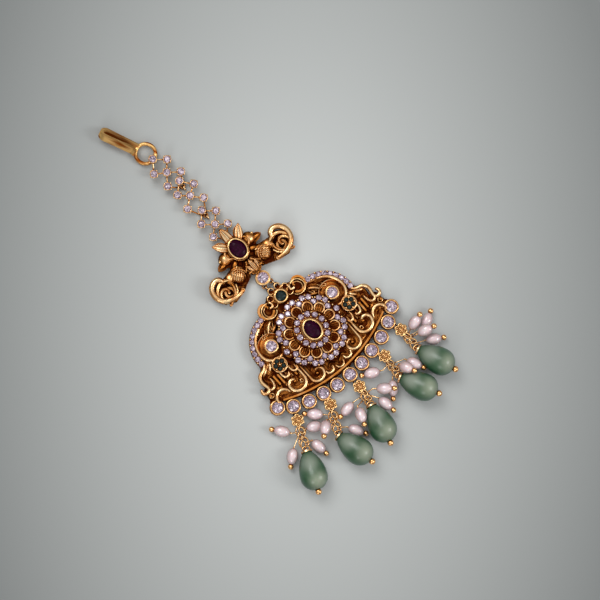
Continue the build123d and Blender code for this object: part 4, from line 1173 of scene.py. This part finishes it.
class JEWEL_OT_stage(bpy.types.Operator):
    """Sets out the floor, the soft lights, the world and the camera"""
    bl_idname = "jewel.stage"
    bl_label = "Stage"

    def execute(self, context):
        sizes = context.scene.jewel_stage
        target = Vector((3.35 * MM, 8.1 * MM, 0))
        right = Vector((0.751, -0.660, 0))
        up = Vector((0.660, 0.751, 0))
        floor = added(bpy.ops.mesh.primitive_plane_add, size=6.0, location=(0, 0, -0.00005))
        floor.name = "floor"
        tree, shader = new_material("paper")
        floor.data.materials.append(bpy.data.materials["paper"])
        # The floor is painted paler round the jewel and darker outwards: a painted pool of light.
        centred = vector_maths(tree, "SUBTRACT", own_place(tree), target)
        level = node(tree, "VectorRotate", {"Vector": centred,
                                            "Angle": -math.atan2(right.y, right.x)},
                     rotation_type="Z_AXIS").outputs["Vector"]
        away = vector_maths(tree, "LENGTH", vector_maths(tree, "MULTIPLY", level, (1.0, 0.6, 0.0)),
                            output="Value")
        tone = mixed(tree, ranged(tree, away, 0.0, 0.09), (0.575, 0.595, 0.585, 1),
                     (0.212, 0.223, 0.22, 1))
        feed(tree, shader, {"Base Color": tone, "Roughness": 0.9, "Specular IOR Level": 0.2})

        world = bpy.data.worlds.new("studio")
        context.scene.world = world
        world.use_nodes = True
        sky = world.node_tree
        generated = node(sky, "TexCoord").outputs["Generated"]
        height = node(sky, "SeparateXYZ", {0: generated}).outputs["Z"]
        feed(sky, sky.nodes["Background"], {
            "Color": ranged(sky, height, 0.25, 1.0, start=0.1, end=1.1), "Strength": 0.84})

        for name, spot, width, power in (
                ("soft_key", up * 1.2 - right * 1.0 + Vector((0, 0, 2.2)), 1.4, 30.0),
                ("soft_fill", right * 2.0 - up * 0.4 + Vector((0, 0, 1.6)), 0.9, 19.0),
                ("soft_low", -up * 2.0 - right * 0.6 + Vector((0, 0, 1.4)), 0.9, 10.0)):
            lamp = bpy.data.lights.new(name, "AREA")
            lamp.shape = "SQUARE"
            lamp.size = width
            lamp.energy = power
            light = bpy.data.objects.new(name, lamp)
            context.collection.objects.link(light)
            light.location = target + spot
            light.rotation_euler = (-spot).to_track_quat("-Z", "Y").to_euler()

        camera = bpy.data.objects.new("camera", bpy.data.cameras.new("camera"))
        context.collection.objects.link(camera)
        toward = Vector((-math.sin(sizes.tilt), 0, math.cos(sizes.tilt)))
        side = (right - toward * right.dot(toward)).normalized()
        top = toward.cross(side)
        spin = Matrix((side, top, toward)).transposed().to_4x4()
        camera.matrix_world = Matrix.Translation(target + toward * sizes.distance) @ spin
        camera.data.sensor_width = 36.0
        camera.data.lens = 36.0 * sizes.distance / sizes.width
        camera.data.clip_start = 0.01
        camera.data.clip_end = 20.0
        context.scene.camera = camera
        context.scene.view_settings.view_transform = "Standard"
        return {"FINISHED"}


class JEWEL_PT_panel(bpy.types.Panel):
    """The jewel's sizes, colours and operators"""
    bl_label = "Jewel"
    bl_idname = "JEWEL_PT_panel"
    bl_space_type = "VIEW_3D"
    bl_region_type = "UI"
    bl_category = "Jewel"

    def draw(self, context):
        for group in (context.scene.jewel_metal, context.scene.jewel_stones,
                      context.scene.jewel_stage):
            for key in group.bl_rna.properties.keys():
                if key not in ("rna_type", "name"):
                    self.layout.prop(group, key)
        for operator in OPERATORS:
            self.layout.operator(operator.bl_idname)


OPERATORS = (JEWEL_OT_finishes, JEWEL_OT_stage, JEWEL_OT_stones, JEWEL_OT_rosette, JEWEL_OT_pendant,
             JEWEL_OT_crest, JEWEL_OT_chain, JEWEL_OT_drops)
CLASSES = (JewelMetal, JewelStones, JewelStage, *OPERATORS, JEWEL_PT_panel)
GROUPS = {"jewel_metal": JewelMetal, "jewel_stones": JewelStones, "jewel_stage": JewelStage}


def register():
    """Registers the property groups, operators and panel."""
    for cls in CLASSES:
        bpy.utils.register_class(cls)
    for name, group in GROUPS.items():
        setattr(bpy.types.Scene, name, bpy.props.PointerProperty(type=group))


def unregister():
    """Takes them off again."""
    for name in GROUPS:
        delattr(bpy.types.Scene, name)
    for cls in reversed(CLASSES):
        bpy.utils.unregister_class(cls)


def main():
    """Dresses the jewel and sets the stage."""
    register()
    bpy.ops.jewel.finishes()
    bpy.ops.jewel.stage()
    bpy.ops.jewel.stones()
    bpy.ops.jewel.rosette()
    bpy.ops.jewel.pendant()
    bpy.ops.jewel.crest()
    bpy.ops.jewel.chain()
    bpy.ops.jewel.drops()


if __name__ == "__main__":
    main()
